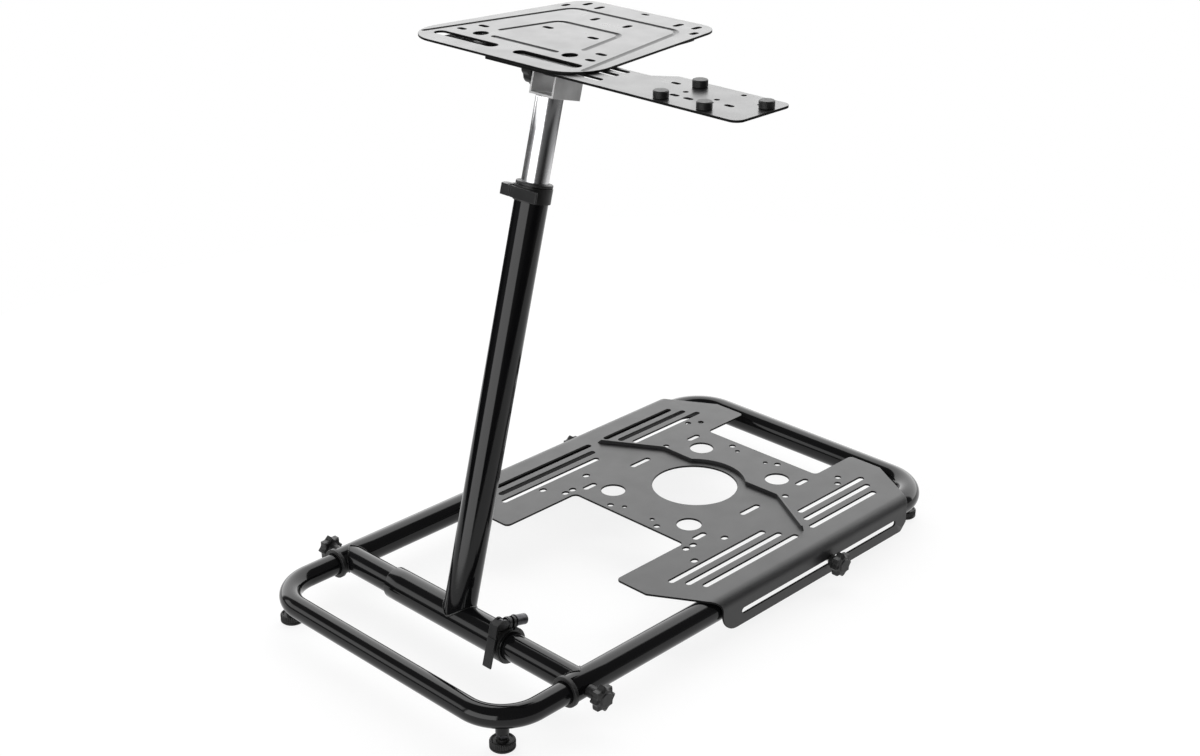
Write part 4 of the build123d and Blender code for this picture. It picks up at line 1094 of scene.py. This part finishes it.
@dataclass(frozen=True)
class SideArm:
    """The slotted arm under the wheel plate, with its four hand nuts.

    outline gives each corner's x, y and rounding, and the other tables the middles of what they name.
    """

    top: float = 806.652
    outline: tuple = ((1.0, -408.5, 1), (404.0, -408.5, 12), (404.0, -313.0, 12), (233.0, -313.0, 6),
                      (207.0, -333.0, 6), (1.0, -333.0, 1))
    slots_y: tuple = (-342.5, -361.0, -388.0)
    bolt_slots: tuple = ((251.0, -338.0), (284.0, -377.0), (305.0, -377.0), (357.0, -367.0))
    round_bolts: tuple = ((260.0, -367.0), (284.0, -358.0), (331.0, -358.0), (341.0, -323.0), (334.0, -372.0),
                          (379.0, -340.0))
    knobs: tuple = ((280.0, -395.5), (281.0, -330.0), (345.0, -395.5), (392.0, -344.5))
    knob_r: float = 9.25
    knob_height: float = 9.0

    def build(self) -> None:
        """Builds the arm's plate and the hand nuts."""
        holes = [slot_loop(102.0, y, 156.0, 10.0, half_turn=13) for y in self.slots_y]
        holes += [slot_loop(x, y, 13.0, 6.6) for x, y in self.bolt_slots]
        holes += [circle(x, y, 3.3, 18) for x, y in self.round_bolts]
        plate = sheet(fillet_path(self.outline, 9.0, closed=True), holes, 0.3)
        plate.moved(lambda p: p + self.top * Z)
        plate.make("shifter arm plate", DECK_BLACK, "arm", ["shifter_arm"], edge=SHADED_EDGE)
        for index, (x, y) in enumerate(self.knobs, start=1):
            self.hand_nut(index, x, y)

    def hand_nut(self, index: int, x: float, y: float) -> None:
        """A knurled hand nut: fine vertical flutes between a chamfered foot and a flat top."""
        r, h = self.knob_r, self.knob_height
        rows = [(NEAR_AXIS, 0, 0), (r - 0.8, 0, 0.3), (r, 0.8, 0.3), (r, h - 0.9, 0.5), (r - 0.9, h, 0.5),
                (NEAR_AXIS, h, 0)]

        def knurled(t: Array, rad: Array, height: Array) -> Array:
            """Twenty-eight flutes on the side only: 0.018 times a raised cosine."""
            return np.where((height > 1.0) & (height < h - 1.2), -0.018 * raised(28 * t), 0.0)

        nut = lathe(rows, np.array([x, y, self.top]), Z, 168, knurled)
        nut.make(f"arm hand nut {index}", KNOB_PLASTIC, "arm", [f"arm_knob_{index}"], sharp=50.0)


# ---------------------------------------------------------------- studio


@dataclass(frozen=True)
class Panel:
    """A soft light panel in the surround: its span in azimuth and height in degrees, and its strength."""

    azimuth: tuple[float, float]
    height: tuple[float, float]
    strength: float
    blur: float = 2.5


@dataclass(frozen=True)
class Studio:
    """The pale floor, the soft light round the object and the camera."""

    camera_at: tuple = (1.59174, -1.72370, 1.37189)
    azimuth: float = 44.31
    elevation: float = -24.14
    lens: float = 55.6
    floor_radius: float = 1.6
    floor_glow: float = 0.84
    back_light: tuple = (-0.569, 0.822, 0.0)
    back_steps: tuple = ((-1.0, 0.15), (0.39, 0.15), (0.46, 3.5), (0.9, 2.75), (1.0, 2.75))
    panels: tuple = (Panel((-116.0, -56.0), (-8.0, 34.0), 3.5), Panel((-160.0, -121.0), (8.0, 29.0), 2.1),
                     Panel((22.0, 80.0), (-60.0, -6.0), 0.4, 22.0), Panel((80.0, 175.0), (-60.0, -6.0), 0.12, 6.0))

    def build(self) -> None:
        """Builds the whole studio."""
        self.floor()
        self.world()
        self.camera()

    def floor(self) -> None:
        """A round pale floor that glows faintly, so that what shadows fall on it stay light."""
        t = turns(96)
        points = self.floor_radius * wheel(t, X, Y) - 0.0002 * Z
        mesh = bpy.data.meshes.new("studio floor")
        mesh.from_pydata(points.tolist(), [], [list(range(len(t)))])
        paper = PAPER.material()
        wire(paper.node_tree.nodes["Principled BSDF"],
             {"Emission Color": (1, 1, 1, 1), "Emission Strength": self.floor_glow})
        mesh.materials.append(paper)
        floor = bpy.data.objects.new("studio floor", mesh)
        bpy.context.scene.collection.objects.link(floor)

    def world(self) -> None:
        """A white surround for the camera; for other rays a wide back light and the soft panels.

        Above the horizon the back light's strength follows back_steps over the cosine between the
        ray and back_light. Each panel adds its strength inside its span of azimuth and height.
        """
        world = bpy.data.worlds.new("studio surround")
        bpy.context.scene.world = world
        world.use_nodes = True
        tree = world.node_tree
        tree.nodes.clear()
        ray = add_node(tree, "TexCoord", {}).outputs["Generated"]
        split = add_node(tree, "SeparateXYZ", {"Vector": ray}).outputs
        toward = add_node(tree, "VectorMath", {0: ray, 1: self.back_light})
        toward.operation = "DOT_PRODUCT"
        around = maths(tree, "ARCTAN2", split["Y"], split["X"])
        height = maths(tree, "ARCSINE", split["Z"])
        above = self.window(height, (-2.0, 120.0), 3.0)
        light = times(self.steps(toward.outputs["Value"]), above)
        for panel in self.panels:
            width = self.window(around, panel.azimuth, panel.blur)
            rise = self.window(height, panel.height, panel.blur)
            light = maths(tree, "ADD", light, times(times(width, rise), panel.strength))
        white = (1, 1, 1, 1)
        sky = add_node(tree, "Background", {"Color": white, "Strength": light}).outputs["Background"]
        plain = add_node(tree, "Background", {"Color": white}).outputs["Background"]
        camera_ray = add_node(tree, "LightPath", {}).outputs["Is Camera Ray"]
        mix = add_node(tree, "MixShader", {"Fac": camera_ray, 1: sky, 2: plain})
        add_node(tree, "OutputWorld", {"Surface": mix.outputs["Shader"]})

    def steps(self, cosine: Socket) -> Socket:
        """The back light's strength at a cosine, drawn straight between back_steps."""
        tree = cosine.id_data
        span = add_node(tree, "MapRange", {"Value": cosine, "From Min": -1.0})
        ramp = add_node(tree, "ValToRGB", {"Fac": span.outputs["Result"]})
        elements = ramp.color_ramp.elements
        top = max(value for _, value in self.back_steps)
        for k, (spot, value) in enumerate(self.back_steps):
            place = (spot + 1.0) / 2.0
            element = elements[k] if k < 2 else elements.new(place)
            element.position, element.color = place, (*[value / top] * 3, 1.0)
        return times(ramp.outputs["Color"], top)

    @staticmethod
    def window(value: Socket, span: tuple, blur: float) -> Socket:
        """One inside a span of degrees and nought outside it, eased over blur at both ends."""
        sides = []
        for edge, ease in ((span[0], blur), (span[1], -blur)):
            low, high = math.radians(edge - ease), math.radians(edge + ease)
            node = add_node(value.id_data, "MapRange", {"Value": value, "From Min": low, "From Max": high})
            node.interpolation_type = "SMOOTHSTEP"
            sides.append(node.outputs["Result"])
        return times(*sides)

    def camera(self) -> None:
        """The camera of the photograph: a 36 mm wide sensor, no shift, no depth of field."""
        data = bpy.data.cameras.new("camera")
        data.sensor_fit, data.sensor_width, data.lens = "HORIZONTAL", 36.0, self.lens
        data.clip_start, data.clip_end = 0.05, 60.0
        camera = bpy.data.objects.new("camera", data)
        az, el = math.radians(self.azimuth), math.radians(self.elevation)
        forward = Vector((-math.sin(az) * math.cos(el), math.cos(az) * math.cos(el), math.sin(el)))
        camera.location = self.camera_at
        camera.rotation_euler = forward.to_track_quat("-Z", "Y").to_euler()
        bpy.context.scene.collection.objects.link(camera)
        bpy.context.scene.camera = camera
        view = bpy.context.scene.view_settings
        view.view_transform, view.look, view.exposure, view.gamma = "Standard", "None", 0.0, 1.0


def main() -> None:
    """Builds the studio and the stand, piece by piece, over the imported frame."""
    logging.basicConfig(level=logging.INFO, format="%(name)s %(message)s")
    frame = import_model()
    Studio().build()
    rear = Hoop("rear", "base", 19.0, -505.0, 267.5, 64)
    front = Hoop("front", "hoop", 15.5, -330.0, -620.0, 60)
    rear.build()
    CrossTube().build()
    for sign, side in SIDES:
        MouthCollar().build(sign, side, rear.start_y)
    front.build()
    for sign, side in SIDES:
        LevellingFoot().build(f"rear foot {side}", rear, sign)
        LevellingFoot().build(f"front foot {side}", front, sign)
        StarKnob("front", (252.5, -485.0, TUBE_AXIS_Z), 17.0, 3.2).build(sign, side)
        StarKnob("pedal", (257.8, 8.0, TUBE_AXIS_Z - 9.5), 10.0, 16.0).build(sign, side)
    PedalPlate().build()
    Mast().build()
    QuickClamp("base").build(frame)
    QuickClamp("mast").build(frame)
    Post().build(frame)
    WheelDeck().build(frame)
    SideArm().build()


if __name__ == "__main__":
    main()
